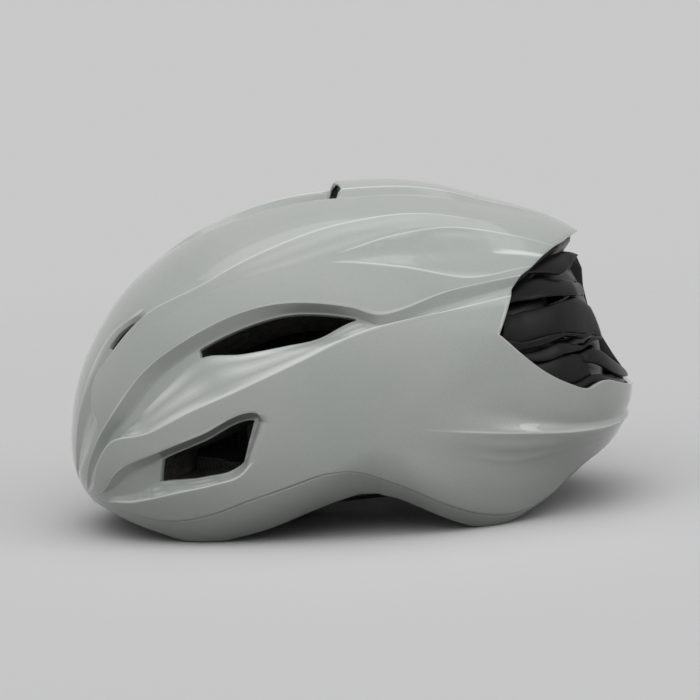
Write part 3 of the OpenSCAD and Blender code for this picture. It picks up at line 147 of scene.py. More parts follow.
# Feature lines of one side, from the crown down: station, x, y, z and depth under the dome
lines = [
    # 0 crown, with the duct floor and the hood's ridge
    [[1, -141, 0, 42, 0], [2, -141, 0, 59, 0], [3, -135, 0, 86, 0], [4, -121, 0, 113, 0], [5.2, -92, 0, 141, 0],
     [6, -63, 0, 157, duct_d * 0.45], [7.3, -8, 0, 170, duct_d], [7.6, -1, 0, 171, -hood_h],
     [8.3, 30, 0, 169, -hood_h], [9.2, 75, 0, 159, -hood_h / 2], [10, 116, 0, 143, 0]],
    # 1 foot of the duct's wall, then the hood's shoulder
    [[1, -141, 3, 42, 0], [2, -141, 4, 59, 0], [4, -121, 5, 113, 0], [5.2, -92, 3, 141, 0],
     [6, -63, 13, 156, duct_d * 0.45], [7.3, -8, 24, 168, duct_d], [7.6, -1, 24, 168, -hood_h * 0.9],
     [8.3, 30, 22, 167, -hood_h * 0.9], [9.2, 75, 16, 158, -hood_h * 0.4], [10, 116, 6, 143, 0]],
    # 2 edge of the duct, then the foot of the hood
    [[1, -141, 6, 42, 0], [2, -141, 8, 59, 0], [4, -120, 9, 113, 0], [5.2, -92, 6, 141, 0],
     [6, -63, 17, 155, 0], [7.3, -8, 28, 167, 0], [7.6, -1, 29, 167, 0],
     [8.3, 30, 28, 166, 0], [9.2, 75, 22, 157, 0], [10, 115.2, 12, 142.8, 0]],
    # 3 edge of the nose rib
    [[1, -139, 22, 45, 0], [2, -138, 26, 64, 0], [3, -131, 29, 88, 0], [4, -117, 34, 111, 0],
     [4.6, -104, 45, 120, 0], [5.5, -80, 46, 137, 0], [6.5, -42, 44, 155, 0], [7.6, 3, 41, 164, 0],
     [9, 64, 36, 156, 0], [10, 112.6, 22, 143.5, 0]],
    # 4 foot of the rib's wall in the nose slot
    [[1, -138, 25, 46, 1], [2, -135, 32, 66, 3], [3, -127, 37, 90, slot_d * 0.8], [3.7, -119, 40, 102, slot_d],
     [4.4, -108, 46, 115, slot_d], [4.7, -102, 48, 120, 0], [5.5, -78, 51, 136, 0], [6.5, -42, 50, 153, 0],
     [7.6, 5, 46, 162, 0], [9, 64, 40, 155, 0], [10, 110, 30, 143.2, 0]],
    # 5 foot of the panel's wall in the nose slot
    [[1, -137, 29, 47, 1], [2, -132, 38, 68, 3], [3, -126, 40, 89, slot_d * 0.8], [3.7, -118, 43, 102, slot_d],
     [4.4, -107, 48, 115, slot_d], [4.7, -101, 50, 120, 0], [5.5, -76, 56, 134, 0], [6.5, -42, 56, 150, 0],
     [7.6, 6, 51, 161, 0], [9, 64, 43, 155, 0], [10, 107.2, 36, 143, 0]],
    # 6 front edge of the side panel, then the first ridge
    [[1, -135, 36, 48, 0], [1.8, -127, 49, 67, 0], [2.3, -130, 41, 76, 0], [2.9, -128, 37, 87, 0],
     [3.5, -121, 41, 98, 0], [4.4, -106, 49, 116, 0], [4.8, -99, 52, 121, 0], [5.5, -75, 61, 132, 0],
     [6.3, -49, 62, 144, 0], [7.2, -11, 58, 156, 0], [8, 25, 51, 159, 0], [9, 64, 46, 154, 0], [10, 105.4, 40, 141.8, 0]],
    # 7 upper branch of the soft scoop
    [[1, -135, 37, 48, 0], [1.8, -127, 49, 66, 0], [2.6, -121, 49, 80, 0], [3.6, -114, 51, 98, 0],
     [5, -84, 63, 123, 0], [6.9, -14, 73, 143, 0], [8, 22, 64, 151, 0], [9, 56, 54, 151, 0], [10, 98, 52, 140, 0]],
    # 8 bottom of the soft scoop
    [[1, -135, 38, 48, 0], [1.8, -127, 50, 65, 0], [2.6, -120, 52, 79, 0], [3.6, -110, 55, 97, 0],
     [5, -79, 67, 121, 0], [6.9, -14, 74, 142, 0], [8, 21, 72, 145, 2.2], [9, 53, 67, 142, 2.2], [10, 90, 61, 136, 0.5]],
    # 9 lower branch of the soft scoop
    [[1, -134, 39, 48, 0], [1.8, -127, 50, 64, 0], [2.6, -119, 55, 78, 0], [3.6, -105, 60, 96, 0],
     [5, -73, 72, 118, 0], [6.9, -14, 75, 141, 0], [8, 20, 79, 138, 0], [9, 53, 79, 130, 0], [10, 84, 68, 132, 0]],
    # 10 overhanging edge of the air channel, then the upper edge of the step
    [[0.5, -135, 32, 36, 0], [1, -134, 41, 47, 0], [1.8, -128, 51, 62, 0], [2.5, -118, 59, 76, 0],
     [3.3, -104, 66, 94, 0], [4.3, -83, 74, 109, 0], [5.4, -57, 80, 121, 0], [6.6, -28, 85, 124, 0],
     [7.4, -5, 90, 121, 0], [7.9, 8, 92, 117, 0], [8.9, 43, 84, 125, 0], [10, 78, 74, 129, 0]],
    # 11 foot of the overhang and upper edge of the side vent
    [[0.5, -134, 34, 36, 0.6], [1, -132, 43, 47, 2.5], [1.8, -125, 53, 62, c1 * 0.8], [2.5, -114, 61, 74, c1 * 0.9],
     [3.3, -100, 67, 91, c1], [4.3, -79, 73, 104, c1], [5.4, -53, 79, 116, c1], [6.6, -26, 82, 119, c1],
     [7.5, -2, 86, 115, c1 * 0.9], [8.1, 12, 92, 112, 3.2], [9, 48, 86, 121, 3], [10, 75, 77, 125, 3]],
    # 12 lower edge of the side vent
    [[0.5, -133, 36, 36, 0.6], [1, -131, 46, 48, 2.5], [1.8, -122, 56, 61, c1 * 0.7], [2.5, -110, 64, 72, c1 * 0.85],
     [3.3, -95, 70, 86, c1], [4.3, -77, 74, 99, c1], [5.4, -56, 82, 101, c1], [6.2, -36, 86, 104, c1],
     [6.9, -20, 88, 107, c1 * 0.95], [7.5, -2, 87, 114, c1 * 0.9], [8.1, 13, 92, 111, 3], [9, 49, 87, 120, 2.8], [10, 74, 78, 124, 2.8]],
    # 13 crease at the foot of the channel's floor
    [[0.5, -132, 39, 36, 0], [1, -128, 50, 50, 0], [1.6, -122, 58, 60, 0], [2.6, -103, 75, 66, 0],
     [3.3, -84, 85, 76, 0], [4.6, -59, 92, 86, 0], [5.8, -31, 96, 98, 0], [6.8, -11, 95, 106, 0],
     [7.9, 10, 94, 112, 0], [9, 48, 89, 118, 1.2], [10, 73, 81, 121, 1.5]],
    # 14 middle of the cheek, then the lower edge of the rear cut-out
    [[0.5, -130, 42, 35, 0], [1, -126, 53, 48, 0], [2, -113, 68, 57, 0], [3, -89, 85, 68, 0], [4.5, -58, 94, 81, 0],
     [6, -25, 98, 92, 0], [7.5, 5, 98, 101, 0], [9, 40, 95, 107, 0], [10, 64, 91, 103, 0], [10.4, 74, 90, 94, 0],
     [10.8, 84, 87, 85, 0], [11.4, 98, 80, 76, 0], [11.8, 107, 73, 72, 0], [12.3, 119, 62, 74, 0],
     [12.6, 128, 48, 71, 0], [13, 139, 0, 65, 0]],
    # 15 upper edge of the cheek vent's recess
    [[0.5, -129, 45, 34, 0], [0.8, -126, 49, 36, 0], [1.3, -120, 61, 46, 0], [2.2, -101, 77, 56, 0],
     [3.2, -79, 88, 65, 0], [4.25, -54, 95, 75, 0], [4.5, -49, 97, 74, 0], [6, -20, 100, 80, 0], [8, 18, 101, 88, 0],
     [10, 60, 95, 84, 0], [11, 86, 87, 72, 0], [12, 112, 68, 63, 0], [13, 138, 0, 60, 0]],
    # 16 upper edge of the cheek vent
    [[0.5, -128, 46, 33, 0.3], [0.8, -124, 52, 36, 2], [1.3, -115, 63, 44, c2 * 0.6], [2.1, -99, 71, 52, c2],
     [3.2, -79, 82, 61, c2], [4.2, -54, 90, 71, c2], [4.5, -48, 97, 70, 0], [6, -18, 102, 70, 0], [8, 18, 102, 74, 0],
     [10, 56, 97, 71, 0], [11, 80, 90, 63, 0], [12, 111, 68, 56, 0], [13, 137, 0, 56, 0]],
    # 17 lower edge of the cheek vent, then the lobe's crease
    [[0.5, -127, 47, 31, 0.3], [0.8, -123, 52, 32, 2], [1.3, -114, 62, 34, c2 * 0.6], [2.1, -101, 68, 40, c2],
     [3.2, -80, 81, 43, c2 * 0.9], [4.1, -61, 88, 49, c2 * 0.8], [4.5, -54, 96, 57, 0], [6, -16, 101, 60, 0], [8, 18, 101, 62, 0],
     [10, 49, 99, 59, -0.5], [11, 74, 92, 56, -0.8], [12, 108, 70, 52, -0.5], [13, 135, 0, 52, 0]],
    # 18 lower lip of the cheek vent
    [[0.5, -127, 47, 29, 0], [0.8, -122, 52, 30, 0], [1.3, -114, 62, 31, 0], [2.2, -92, 80, 37, 0],
     [3.2, -75, 89, 41, 0], [4.1, -61, 94, 46, 0], [4.5, -55, 96, 52, 0], [6, -14, 100, 53, 0], [8, 18, 99, 50, 0],
     [10, 46, 95, 45, 0], [11, 70, 88, 40, 0.5], [12, 103, 69, 43, 0.3], [13, 133, 0, 48, 0]],
    # 19 crease of the rim, where the lower skin begins
    [[0.5, -126, 46, 28, 0], [1, -117, 56, 25, 0], [1.7, -99, 68, 22, 0], [2.5, -82, 79, 24, 0], [3.6, -57, 92, 33, 0],
     [4.6, -38, 98, 39, 0], [5.6, -22, 100, 44, 0], [6.6, -8, 99, 44, 0], [7.6, 5, 97, 39, 0], [8.6, 18, 95, 33, 0],
     [10, 49, 87, 18, 0], [10.5, 61, 81, 15, 0], [11, 74, 73, 15, 0], [11.8, 90, 63, 21, 0], [12.5, 109, 50, 32, 0],
     [13, 131, 0, 44, 0]]
]

last = len(lines) - 1
cut_line = 14
ridge_h = 0.9


def nose_edge(f):
    """Front edge that the lines start from, 0 in the middle and 1 at the lower skin"""
    f = np.asarray(f, float)
    return np.stack([-139 + 6 * f * f, 36 * f, 31 - f], -1)


def rounded_tail(t, places, u):
    """Smooth curve through places that turns level where it meets its twin at the rear middle"""
    p = curve(t, places, u)
    left = 13 - np.asarray(u, float)
    w = np.clip(left / 0.7, 0, 1)
    slower = curve(t, places, 13 - left * w * (2 - w))
    near = (left < 0.7)[:, None] & np.array([True, False, True])
    return np.where(near, slower, p)


def line_at(i, u):
    """Places and depths along feature line i"""
    t = [0] + [p[0] for p in lines[i]]
    places = np.vstack([nose_edge(i / last)] + [p[1:4] for p in lines[i]])
    return rounded_tail(t, places, u), curve(t, [0] + [p[4] for p in lines[i]], u, flat=True)


def rows_at(s, u):
    """Directions and depths on a grid of rows s and stations u"""
    s = np.asarray(s, float)
    both = [line_at(i, u) for i in range(last + 1)]
    places, depths = (np.stack([b[k] for b in both]) for k in (0, 1))
    i = np.minimum(s.astype(int), last - 1)
    f = s - i
    places = places[i] * (1 - f)[:, None, None] + places[i + 1] * f[:, None, None]
    depths = depths[i] * (1 - f)[:, None] + depths[i + 1] * f[:, None]
    # The crisp ridge along the upper side, which is only in the paint's highlights
    rise = np.interp(s, [3, 6, 7], [0, 1, 0])[:, None] * np.interp(u, [3.8, 5.2, 8.2, 9.4], [0, 1, 1, 0])
    # The tail's lobe: a crease that sweeps to the rear above the rim, with a shallow scoop over it
    lobe = np.interp(s, [15.6, 16.3, 17, 17.9], [0, 0.7, -1.5, 0])[:, None] * np.interp(u, [9.4, 10.6, 12.3, 13], [0, 1, 1, 0.3])
    # The soft scoop runs out before the tail
    depths = depths * (1 - np.interp(s, [7, 8, 9], [0, 1, 0])[:, None] * np.interp(u, [8.8, 9.8], [0, 1]))
    return places, depths - ridge_h * rise + lobe


def fillet(s, u):
    """Half width over which a crease is rounded: small on the ridges and vents, wide in the soft scoop"""
    return (0.55 + 2.6 * np.interp(s, [7.4, 7.9, 8.1, 8.6], [0, 1, 1, 0])
            + 3 * np.interp(s, [13.5, 13.9, 14.1, 14.5], [0, 1, 1, 0]) * np.interp(u, [7, 8], [0, 1]))


def eased_depths(s, u):
    """Depths of the rows with every crease between them rounded"""
    fine = np.linspace(0, last, last * 24 + 1)
    places, depths = rows_at(fine, u)
    skin = on_dome(places, depths)
    out = np.empty((len(s), len(u)))
    for j in range(len(u)):
        arc = np.concatenate([[0], np.cumsum(np.linalg.norm(np.diff(skin[:, j], axis=0), axis=1))])
        area = np.concatenate([[0], np.cumsum((depths[1:, j] + depths[:-1, j]) / 2 * np.diff(arc))])

        def upto(a):
            return np.sign(a) * np.interp(abs(a), arc, area) + np.maximum(a - arc[-1], 0) * depths[-1, j]

        at = np.interp(s, fine, arc)
        r = fillet(s, u[j])
        out[:, j] = (upto(at + r) - upto(at - r)) / (2 * r)
    return out


def cut_finer(stops, step, fine_from, fine_to, fine_step):
    """Stations between the stops, closer together in one stretch"""
    out = []
    for a, b in zip(stops[:-1], stops[1:]):
        width = fine_step if a >= fine_from and b <= fine_to else step
        n = max(1, math.ceil((b - a) / width - 1e-6))
        out += [a + (b - a) * k / n for k in range(n)]
    return np.array(out + [stops[-1]])


def open_at(s, u):
    """Where the shell is trimmed away: cut-out, side vent, cheek vent, nose slot and duct mouth"""
    def box(s0, s1, u0, u1):
        return (s > s0) & (s < s1) & (u > u0) & (u < u1)

    return (((s < cut_line) & (u > 10)) | box(11, 12, 4.3, 7.5) | box(16, 17, 2.1, 4.2)
            | box(3.25, 5, 3.6, 4.4) | box(4, 5, 3, 4.4) | ((s < 1) & (u > 7.3) & (u < 7.6)))


def mirrored_rows(a, flip=False):
    """One side's rows to both sides', the far one first"""
    far = a[:0:-1].copy()
    near = a.copy()
    if flip:
        near[..., 1] *= -1
    return np.concatenate([far, near])


def grid_of(s, u):
    """Vertex numbers, solid cells and boundary loops of both sides' grid, closed at the rear middle"""
    rows = 2 * len(s) - 1
    ids = np.arange(rows * len(u)).reshape(rows, len(u))
    ids[:len(s) - 1, -1] = ids[:len(s) - 1:-1, -1]
    mid_s, mid_u = (s[1:] + s[:-1]) / 2, (u[1:] + u[:-1]) / 2
    cells = open_at(mid_s[:, None], mid_u[None, :])
    solid = ~np.concatenate([cells[::-1], cells])
    quads = np.stack([ids[:-1, :-1], ids[1:, :-1], ids[1:, 1:], ids[:-1, 1:]], -1)[solid]
    edges = set()
    for q in quads.tolist():
        edges.update(zip(q, q[1:] + q[:1]))
    follow = {a: b for a, b in edges if (b, a) not in edges}
    loops = []
    while follow:
        a, b = follow.popitem()
        loop = [a]
        while b != a:
            loop.append(b)
            b = follow.pop(b)
        loops.append(np.array(loop))
    return ids, quads, loops


def round_loop(loop, places, depths, width):
    """Round the corners of a trimmed edge by averaging it along itself"""
    p, d = places[loop], depths[loop]
    x = on_dome(p, d)
    step = np.linalg.norm(x - np.roll(x, 1, 0), axis=1)
    arc = np.cumsum(step)
    gap = arc[:, None] - arc[None, :]
    gap -= arc[-1] * np.round(gap / arc[-1])
    weight = np.exp(-gap ** 2 / (2 * width ** 2)) * ((step + np.roll(step, -1)) / 2)[None, :]
    weight /= weight.sum(1, keepdims=True)
    places[loop], depths[loop] = weight @ p, weight @ d


def frame_of(x):
    """Directions at a loop's points: into the opening, and in towards the head"""
    ahead = np.roll(x, -1, 0) - np.roll(x, 1, 0)
    ahead /= np.linalg.norm(ahead, axis=1)[:, None] + 1e-9
    out = x - centre
    out /= np.linalg.norm(out, axis=1)[:, None]
    into = np.cross(ahead, out)
    return into / np.linalg.norm(into, axis=1)[:, None], -out


def strip(a, b):
    """Faces between two loops of vertex numbers, a above b"""
    return np.stack([np.roll(a, -1), a, b, np.roll(b, -1)], -1)


def make_piece(name, points, faces, smooth=True):
    """A mesh object from points in millimetres above the datum, with the unused points left out"""
    points = (np.asarray(points, float) - datum) * mm
    faces = [list(f) for f in faces]
    used = sorted({v for f in faces for v in f})
    place = {v: k for k, v in enumerate(used)}
    mesh = bpy.data.meshes.new(name)
    mesh.from_pydata(points[used].tolist(), [], [[place[v] for v in f] for f in faces])
    mesh.validate()
    if smooth:
        mesh.shade_smooth()
    return placed(name, mesh)


shell_t, lip_d, lip_w, edge_r, faint_h, vent_round = 1.2, 2.6, 0.3, 0.35, 0.012, 0.8
wall_lines = (1, 3, 4, 10, 15)
shell_s = np.array([i + f for i in range(last) for f in (
    (0, 0.09, 0.25, 0.5, 0.75, 0.91) if i in wall_lines else (0, 0.05, 0.14, 0.32, 0.56, 0.78, 0.93))] + [last])
shell_u = cut_finer([0, 2.1, 3, 4.2, 4.3, 4.4, 7.3, 7.5, 7.6, 10, 13], 0.085, 7.3, 7.6, 0.035)
one_side, sharp = rows_at(shell_s, shell_u)
eased = eased_depths(shell_s, shell_u)
skin_p = mirrored_rows(one_side, True).reshape(-1, 3)
skin_d = mirrored_rows(eased).reshape(-1)
# How far each place stands on an outward crease, 0 to 1: there the paint is lightened, a painted highlight along the
# creases
crisp = np.interp(shell_s, [13.4, 13.6, 14.4, 14.6], [1, 0, 0, 1])[:, None]
ridge = 1 - np.exp(-np.maximum(mirrored_rows((eased - sharp) * crisp).reshape(-1), 0) / faint_h)
ids, quads, loops = grid_of(shell_s, shell_u)
# The trims are the loops that don't hold the rim's first point
rim_start = 0
for loop in loops:
    if rim_start not in loop:
        round_loop(loop, skin_p, skin_d, vent_round)
outer, inner = on_dome(skin_p, skin_d), on_dome(skin_p, skin_d + shell_t)
points = [outer, inner]
count = 2 * len(outer)
faces = [quads, quads[:, ::-1] + len(outer)]
for loop in loops:
    into, deeper = frame_of(outer[loop])
    if rim_start in loop:
        rings = [outer[loop] + deeper * 0.15, outer[loop] + deeper * 1.05]
    else:
        rings = [outer[loop] + into * edge_r * 0.7 + deeper * edge_r * 0.3,
                 outer[loop] + into * edge_r + deeper * edge_r]
        rings += [rings[1] + deeper * (lip_d - 2 * edge_r), outer[loop] + deeper * lip_d,
                  outer[loop] + deeper * lip_d - into * lip_w]
    numbers = [loop]
    for ring in rings:
        numbers.append(np.arange(count, count + len(loop)))
        points.append(ring)
        count += len(loop)
    numbers.append(loop + len(outer))
    faces += [strip(a, b) for a, b in zip(numbers[:-1], numbers[1:])]
points = np.concatenate(points)
shell = make_piece("shell_skin", points, np.concatenate(faces))
used = np.unique(np.concatenate(faces))
# The painted highlight along the creases, kept on the mesh for the paint
ridge_highlight_points = np.zeros(len(points))
ridge_highlight_points[:len(ridge)] = ridge
shell.data.attributes.new("ridge", "FLOAT", "POINT").data.foreach_set("value", ridge_highlight_points[used])


def add(tree, kind, links=None, **settings):
    """A shader node with its settings, and its inputs linked or set"""
    made = tree.nodes.new(kind)
    for key, value in settings.items():
        setattr(made, key, value)
    for key, value in (links or {}).items():
        if isinstance(value, bpy.types.NodeSocket):
            tree.links.new(value, made.inputs[key])
        else:
            made.inputs[key].default_value = value
    return made


def finish_of(name, colour, roughness, **sockets):
    """A material with its shader, and the object's own coordinates in metres"""
    made = bpy.data.materials.new(name)
    made.use_nodes = True
    shader = made.node_tree.nodes["Principled BSDF"]
    shader.inputs["Base Color"].default_value = (*colour, 1)
    shader.inputs["Roughness"].default_value = roughness
    for key, value in sockets.items():
        shader.inputs[key.replace("_", " ")].default_value = value
    place = add(made.node_tree, "ShaderNodeTexCoord").outputs["Object"]
    return made, made.node_tree, shader, place


def two_shades(tree, mask, dark, light, stops=(0.0, 1.0)):
    """A colour between two shades, picked by a mask"""
    ramp = add(tree, "ShaderNodeValToRGB", {"Fac": mask})
    for end, colour, stop in zip(ramp.color_ramp.elements, (dark, light), stops):
        end.color = (*colour, 1)
        end.position = stop
    return ramp.outputs["Color"]


def worked(tree, operation, *values):
    """The result of a sum on values or on other nodes' results"""
    return add(tree, "ShaderNodeMath", dict(enumerate(values)), operation=operation).outputs[0]


def coloured(tree, shader, mask, dark, light, stops=(0.0, 1.0)):
    """Let a mask pick the colour between two shades"""
    tree.links.new(two_shades(tree, mask, dark, light, stops), shader.inputs["Base Color"])


def bumped(tree, shader, height, distance, strength):
    """Raise a fine pattern, distance metres high"""
    bump = add(tree, "ShaderNodeBump", {"Height": height, "Distance": distance, "Strength": strength})
    tree.links.new(bump.outputs["Normal"], shader.inputs["Normal"])


def polished(tree, shader, mask, smooth, dull):
    """Let a cloudy mask pick the roughness, from its low places to its high ones"""
    rough = add(tree, "ShaderNodeMapRange", {"Value": mask, "From Min": 0.3, "From Max": 0.7,
                                             "To Min": smooth, "To Max": dull})
    tree.links.new(rough.outputs["Result"], shader.inputs["Roughness"])


paint, tree, shader, place = finish_of("pearl gloss", (0.52, 0.555, 0.53), 0.34, Coat_Weight=1.0, Coat_Roughness=0.05)
cloud = add(tree, "ShaderNodeTexNoise", {"Vector": place, "Scale": 14.0, "Detail": 3.0})
flakes = add(tree, "ShaderNodeTexVoronoi", {"Vector": place, "Scale": 3200.0})
large = add(tree, "ShaderNodeTexVoronoi", {"Vector": place, "Scale": 2400.0})
tone = two_shades(tree, cloud.outputs["Fac"], (0.5, 0.54, 0.51), (0.545, 0.575, 0.55), (0.35, 0.65))
pick = add(tree, "ShaderNodeSeparateColor", {"Color": flakes.outputs["Color"]})
speck = add(tree, "ShaderNodeMapRange", {"Value": pick.outputs["Red"], "From Min": 0.0, "From Max": 1.0,
                                         "To Min": 0.96, "To Max": 1.04})
toned = add(tree, "ShaderNodeMix", {"Factor": 1.0}, data_type="RGBA", blend_type="MULTIPLY")
tree.links.new(tone, toned.inputs["A"])
tree.links.new(speck.outputs["Result"], toned.inputs["B"])
# Painted highlight: the paint is lightened towards a pale tint along the creases
crease_highlight = add(tree, "ShaderNodeAttribute", attribute_name="ridge").outputs["Fac"]
highlighted_tone = add(tree, "ShaderNodeMix", {"Factor": crease_highlight, "A": toned.outputs["Result"],
                                      "B": (0.9, 0.93, 0.91, 1)}, data_type="RGBA")
tree.links.new(highlighted_tone.outputs["Result"], shader.inputs["Base Color"])
pick_large = add(tree, "ShaderNodeSeparateColor", {"Color": large.outputs["Color"]})
glint = add(tree, "ShaderNodeMapRange", {"Value": pick_large.outputs["Green"], "From Min": 0.9, "From Max": 0.94,
                                         "To Min": 0.04, "To Max": 0.35})
tree.links.new(glint.outputs["Result"], shader.inputs["Metallic"])
lean_flake = add(tree, "ShaderNodeVectorMath", {0: flakes.outputs["Color"], 1: (0.5, 0.5, 0.5)}, operation="SUBTRACT")
lean_less = add(tree, "ShaderNodeVectorMath", {0: lean_flake.outputs[0], "Scale": 0.1}, operation="SCALE")
facing = add(tree, "ShaderNodeNewGeometry")
tilted = add(tree, "ShaderNodeVectorMath", {0: facing.outputs["Normal"], 1: lean_less.outputs[0]}, operation="ADD")
level = add(tree, "ShaderNodeVectorMath", {0: tilted.outputs[0]}, operation="NORMALIZE")
tree.links.new(level.outputs[0], shader.inputs["Normal"])
shell.data.materials.append(paint)
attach(shell, "helmet")
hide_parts("outer_shell")

# Lower skin: a second, smaller moulding of the same stuff that wraps the rim from the crease round
# under the foam. It leans in below the crease and ends in a lip turned under the foam.
# The rim's bottom edge: station, x, y and z
rim = np.array([
    [-1, -133.5, 0, 23.5], [0, -130, 30, 24.5], [0.7, -121, 43, 20.5], [1.4, -107, 56, 14.5],
    [2, -90, 65, 8.2], [2.6, -77, 70, 7.8], [3.2, -64, 74.5, 11.5], [4, -48, 79, 16.5],
    [4.8, -30, 84, 23.5], [5.8, -12, 88, 29.5], [6.6, -2, 89, 31], [7.5, 9, 89, 29],
    [8.8, 28, 87, 20], [9.6, 44, 82, 12.5], [10.2, 54, 78, 8.7], [10.8, 65, 73, 9], [11.3, 76, 68, 13],
    [11.9, 92, 59, 20], [12.5, 109, 42, 29], [13, 129, 0, 40]])
seam_gap, lean_in, turn_w, turn_t = 0.06, 3.5, 7, 1.5


def crease_at(u):
    """The crease over the rim, carried round the front where u is below 0"""
    u = np.asarray(u, float)
    return np.where((u < 0)[:, None], nose_edge(1 + np.minimum(u, 0)), line_at(last, np.maximum(u, 0))[0])


def rim_at(u):
    """The rim's bottom edge, carried round the front where u is below 0"""
    return rounded_tail(rim[:, 0], rim[:, 1:], u)


def unit(v):
    """Directions of length 1"""
    return v / np.linalg.norm(v, axis=-1, keepdims=True)


def leaned(p, amount):
    """Moved in level towards the middle of the helmet"""
    level = (centre - p) * [1, 1, 0]
    return p + unit(level) * np.asarray(amount)[..., None]


def bent(a, corner, b, reach, steps=4):
    """Points round a corner between its neighbours a and b"""
    p, q = corner + unit(a - corner) * reach, corner + unit(b - corner) * reach
    return [p * (1 - t) ** 2 + corner * 2 * t * (1 - t) + q * t * t for t in np.linspace(0, 1, steps)]


def lean_of(u):
    """How far the rim leans in at each station: less at the nose and the tail"""
    return lean_in * np.interp(u, [-1, 0, 1.2, 2, 11, 13], [0.15, 0.3, 0.6, 1, 1, 0.5])


band_u = np.concatenate([np.linspace(-1, 0, 25)[:-1], shell_u])
crease, foot = crease_at(band_u), rim_at(band_u)
upward = unit(crease - foot)
top = crease - upward * seam_gap
lean = lean_of(band_u)


def band(t, depth):
    """A line along the lower skin, t of the way down from its top edge"""
    return leaned(on_dome(top * (1 - t) + foot * t, depth), lean * t)


low = band(1, 0)
low[:, 2] = np.maximum(low[:, 2], datum[2])
level_lip = on_dome(foot, turn_w)
level_lip[:, 2] = np.where(low[:, 2] > datum[2], level_lip[:, 2], datum[2])
over_lip = on_dome(foot + upward * turn_t, turn_w)
over_low = leaned(on_dome(foot + upward * turn_t, shell_t), lean * 0.9)
profile = ([band(0, 0.12), band(0.012, 0), band(0.06, 0)] + [band(t, 0) for t in (0.2, 0.4, 0.6, 0.8)]
           + bent(band(0.8, 0), low, level_lip, 1.3, 5) + bent(low, level_lip, over_lip, 0.5, 3)
           + bent(level_lip, over_lip, over_low, 0.5, 3) + [over_low]
           + [band(t, shell_t) for t in (0.7, 0.4, 0.15, 0)])
ring = np.stack(profile, 1)
ring = np.concatenate([ring * [1, -1, 1], ring[-2:0:-1]])


def faces_round(sections, ends="joined"):
    """Faces round a row of closed sections, with the row's ends joined, capped or left open"""
    count, corners = sections.shape[:2]
    number = np.arange(count * corners).reshape(count, corners)
    beside = np.roll(number, -1, 0)
    faces = np.stack([number, np.roll(number, -1, 1), np.roll(beside, -1, 1), beside], -1)
    if ends == "joined":
        return faces.reshape(-1, 4).tolist()
    caps = [number[0][::-1].tolist(), number[-1].tolist()] if ends == "capped" else []
    return faces[:-1].reshape(-1, 4).tolist() + caps


lower_skin = make_piece("lower_skin", ring.reshape(-1, 3), faces_round(ring))
lower_skin.data.materials.append(paint)
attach(lower_skin, "helmet")
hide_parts("lower_shell")

# Foam liner: expanded polystyrene moulded between the skins, charcoal black and full of small beads,
# with the vents carried through it and air channels in its inner face. It carries everything inside.
cavity_n, cavity_w, cavity_front, cavity_rear, cavity_up, cavity_down = 2.2, 79, 115, 97, 80, 110
foam_in = shell_t + 0.5
foam_lift = turn_t + 1.4
groove_d, soft_edge, trim_round, trim_room = 6, 3.2, 1.8, 0.9
front_way, at_once = 0.5, 2000


def cavity_f(q):
    """How far out a place is from the centre, 1 on the wall of the head space"""
    x = q[..., 0] / np.where(q[..., 0] < 0, cavity_front, cavity_rear)
    z = q[..., 2] / np.where(q[..., 2] < 0, cavity_down, cavity_up)
    return (np.hypot(x, z) ** cavity_n + (abs(q[..., 1]) / cavity_w) ** cavity_n) ** (1 / cavity_n)


def in_cavity(p, depth):
    """The point in p's direction on the head space's wall, lowered by depth"""
    q = np.asarray(p, float) - centre
    n = np.linalg.norm(q, axis=-1)
    return centre + q * ((n / cavity_f(q) - depth) / n)[..., None]


def ramp(v, a, b):
    """0 up to a, 1 from b on, and straight between"""
    return np.clip((v - a) / (b - a), 0, 1)


def eased_ramp(v, a, b):
    """0 up to a, 1 from b on, and eased between"""
    t = ramp(v, a, b)
    return t * t * (3 - 2 * t)


def foam_rows(s, u):
    """Directions of the foam's rows, which run on under the lower skin to its edge"""
    places = rows_at(np.minimum(s, last), u)[0]
    crease, foot = crease_at(u), rim_at(u)
    edge = foot + unit(crease - foot) * foam_lift
    for k, row in enumerate(s):
        if row > last:
            places[k] = crease * (20 - row) + edge * (row - 19)
        f = np.array([row / 20])
        front_foot = rim_at(f - 1)[0]
        start = front_foot + unit(nose_edge(f)[0] - front_foot) * foam_lift
        places[k] += (start - places[k, 0]) * np.clip(1 - u / front_way, 0, 1)[:, None]
    return places


foam_s = np.array([i + f for i in range(last) for f in ((0, 0.28, 0.7) if i in wall_lines else (0, 0.18, 0.42, 0.7))]
                  + [19, 19.25, 19.5, 19.75, 20])
foam_u = cut_finer([0, 2.1, 3, 4.2, 4.3, 4.4, 7.3, 7.5, 7.6, 10, 13], 0.11, 7.3, 7.6, 0.1)
foam_p = foam_rows(foam_s, foam_u)
sunk = np.where(foam_s[:, None] > last, 0, eased_depths(np.minimum(foam_s, last), foam_u)) * np.clip(foam_u / front_way, 0, 1)
foam_lean = lean_of(foam_u) * ramp(foam_s, 19, 20)[:, None] * 0.95
s_grid, u_grid = foam_s[:, None], foam_u[None, :]
channels = groove_d * np.maximum(
    eased_ramp(s_grid, 6, 6.5) * eased_ramp(-s_grid, -8, -7.6) * eased_ramp(u_grid, 3.5, 4.6),
    eased_ramp(s_grid, 10, 11) * eased_ramp(-s_grid, -13, -12) * eased_ramp(u_grid, 6.5, 7.6))
foam_p = mirrored_rows(foam_p, True).reshape(-1, 3)
sunk = mirrored_rows(sunk).reshape(-1)
foam_lean = mirrored_rows(foam_lean).reshape(-1)
channels = mirrored_rows(channels).reshape(-1)
ids, quads, loops = grid_of(foam_s, foam_u)
for loop in loops:
    if rim_start not in loop:
        round_loop(loop, foam_p, sunk, trim_round)
outer = leaned(on_dome(foam_p, sunk + foam_in), foam_lean)
wall = in_cavity(foam_p, -channels)
edge_points = np.concatenate([wall[loop] for loop in loops])
near_edge = np.empty(len(wall))
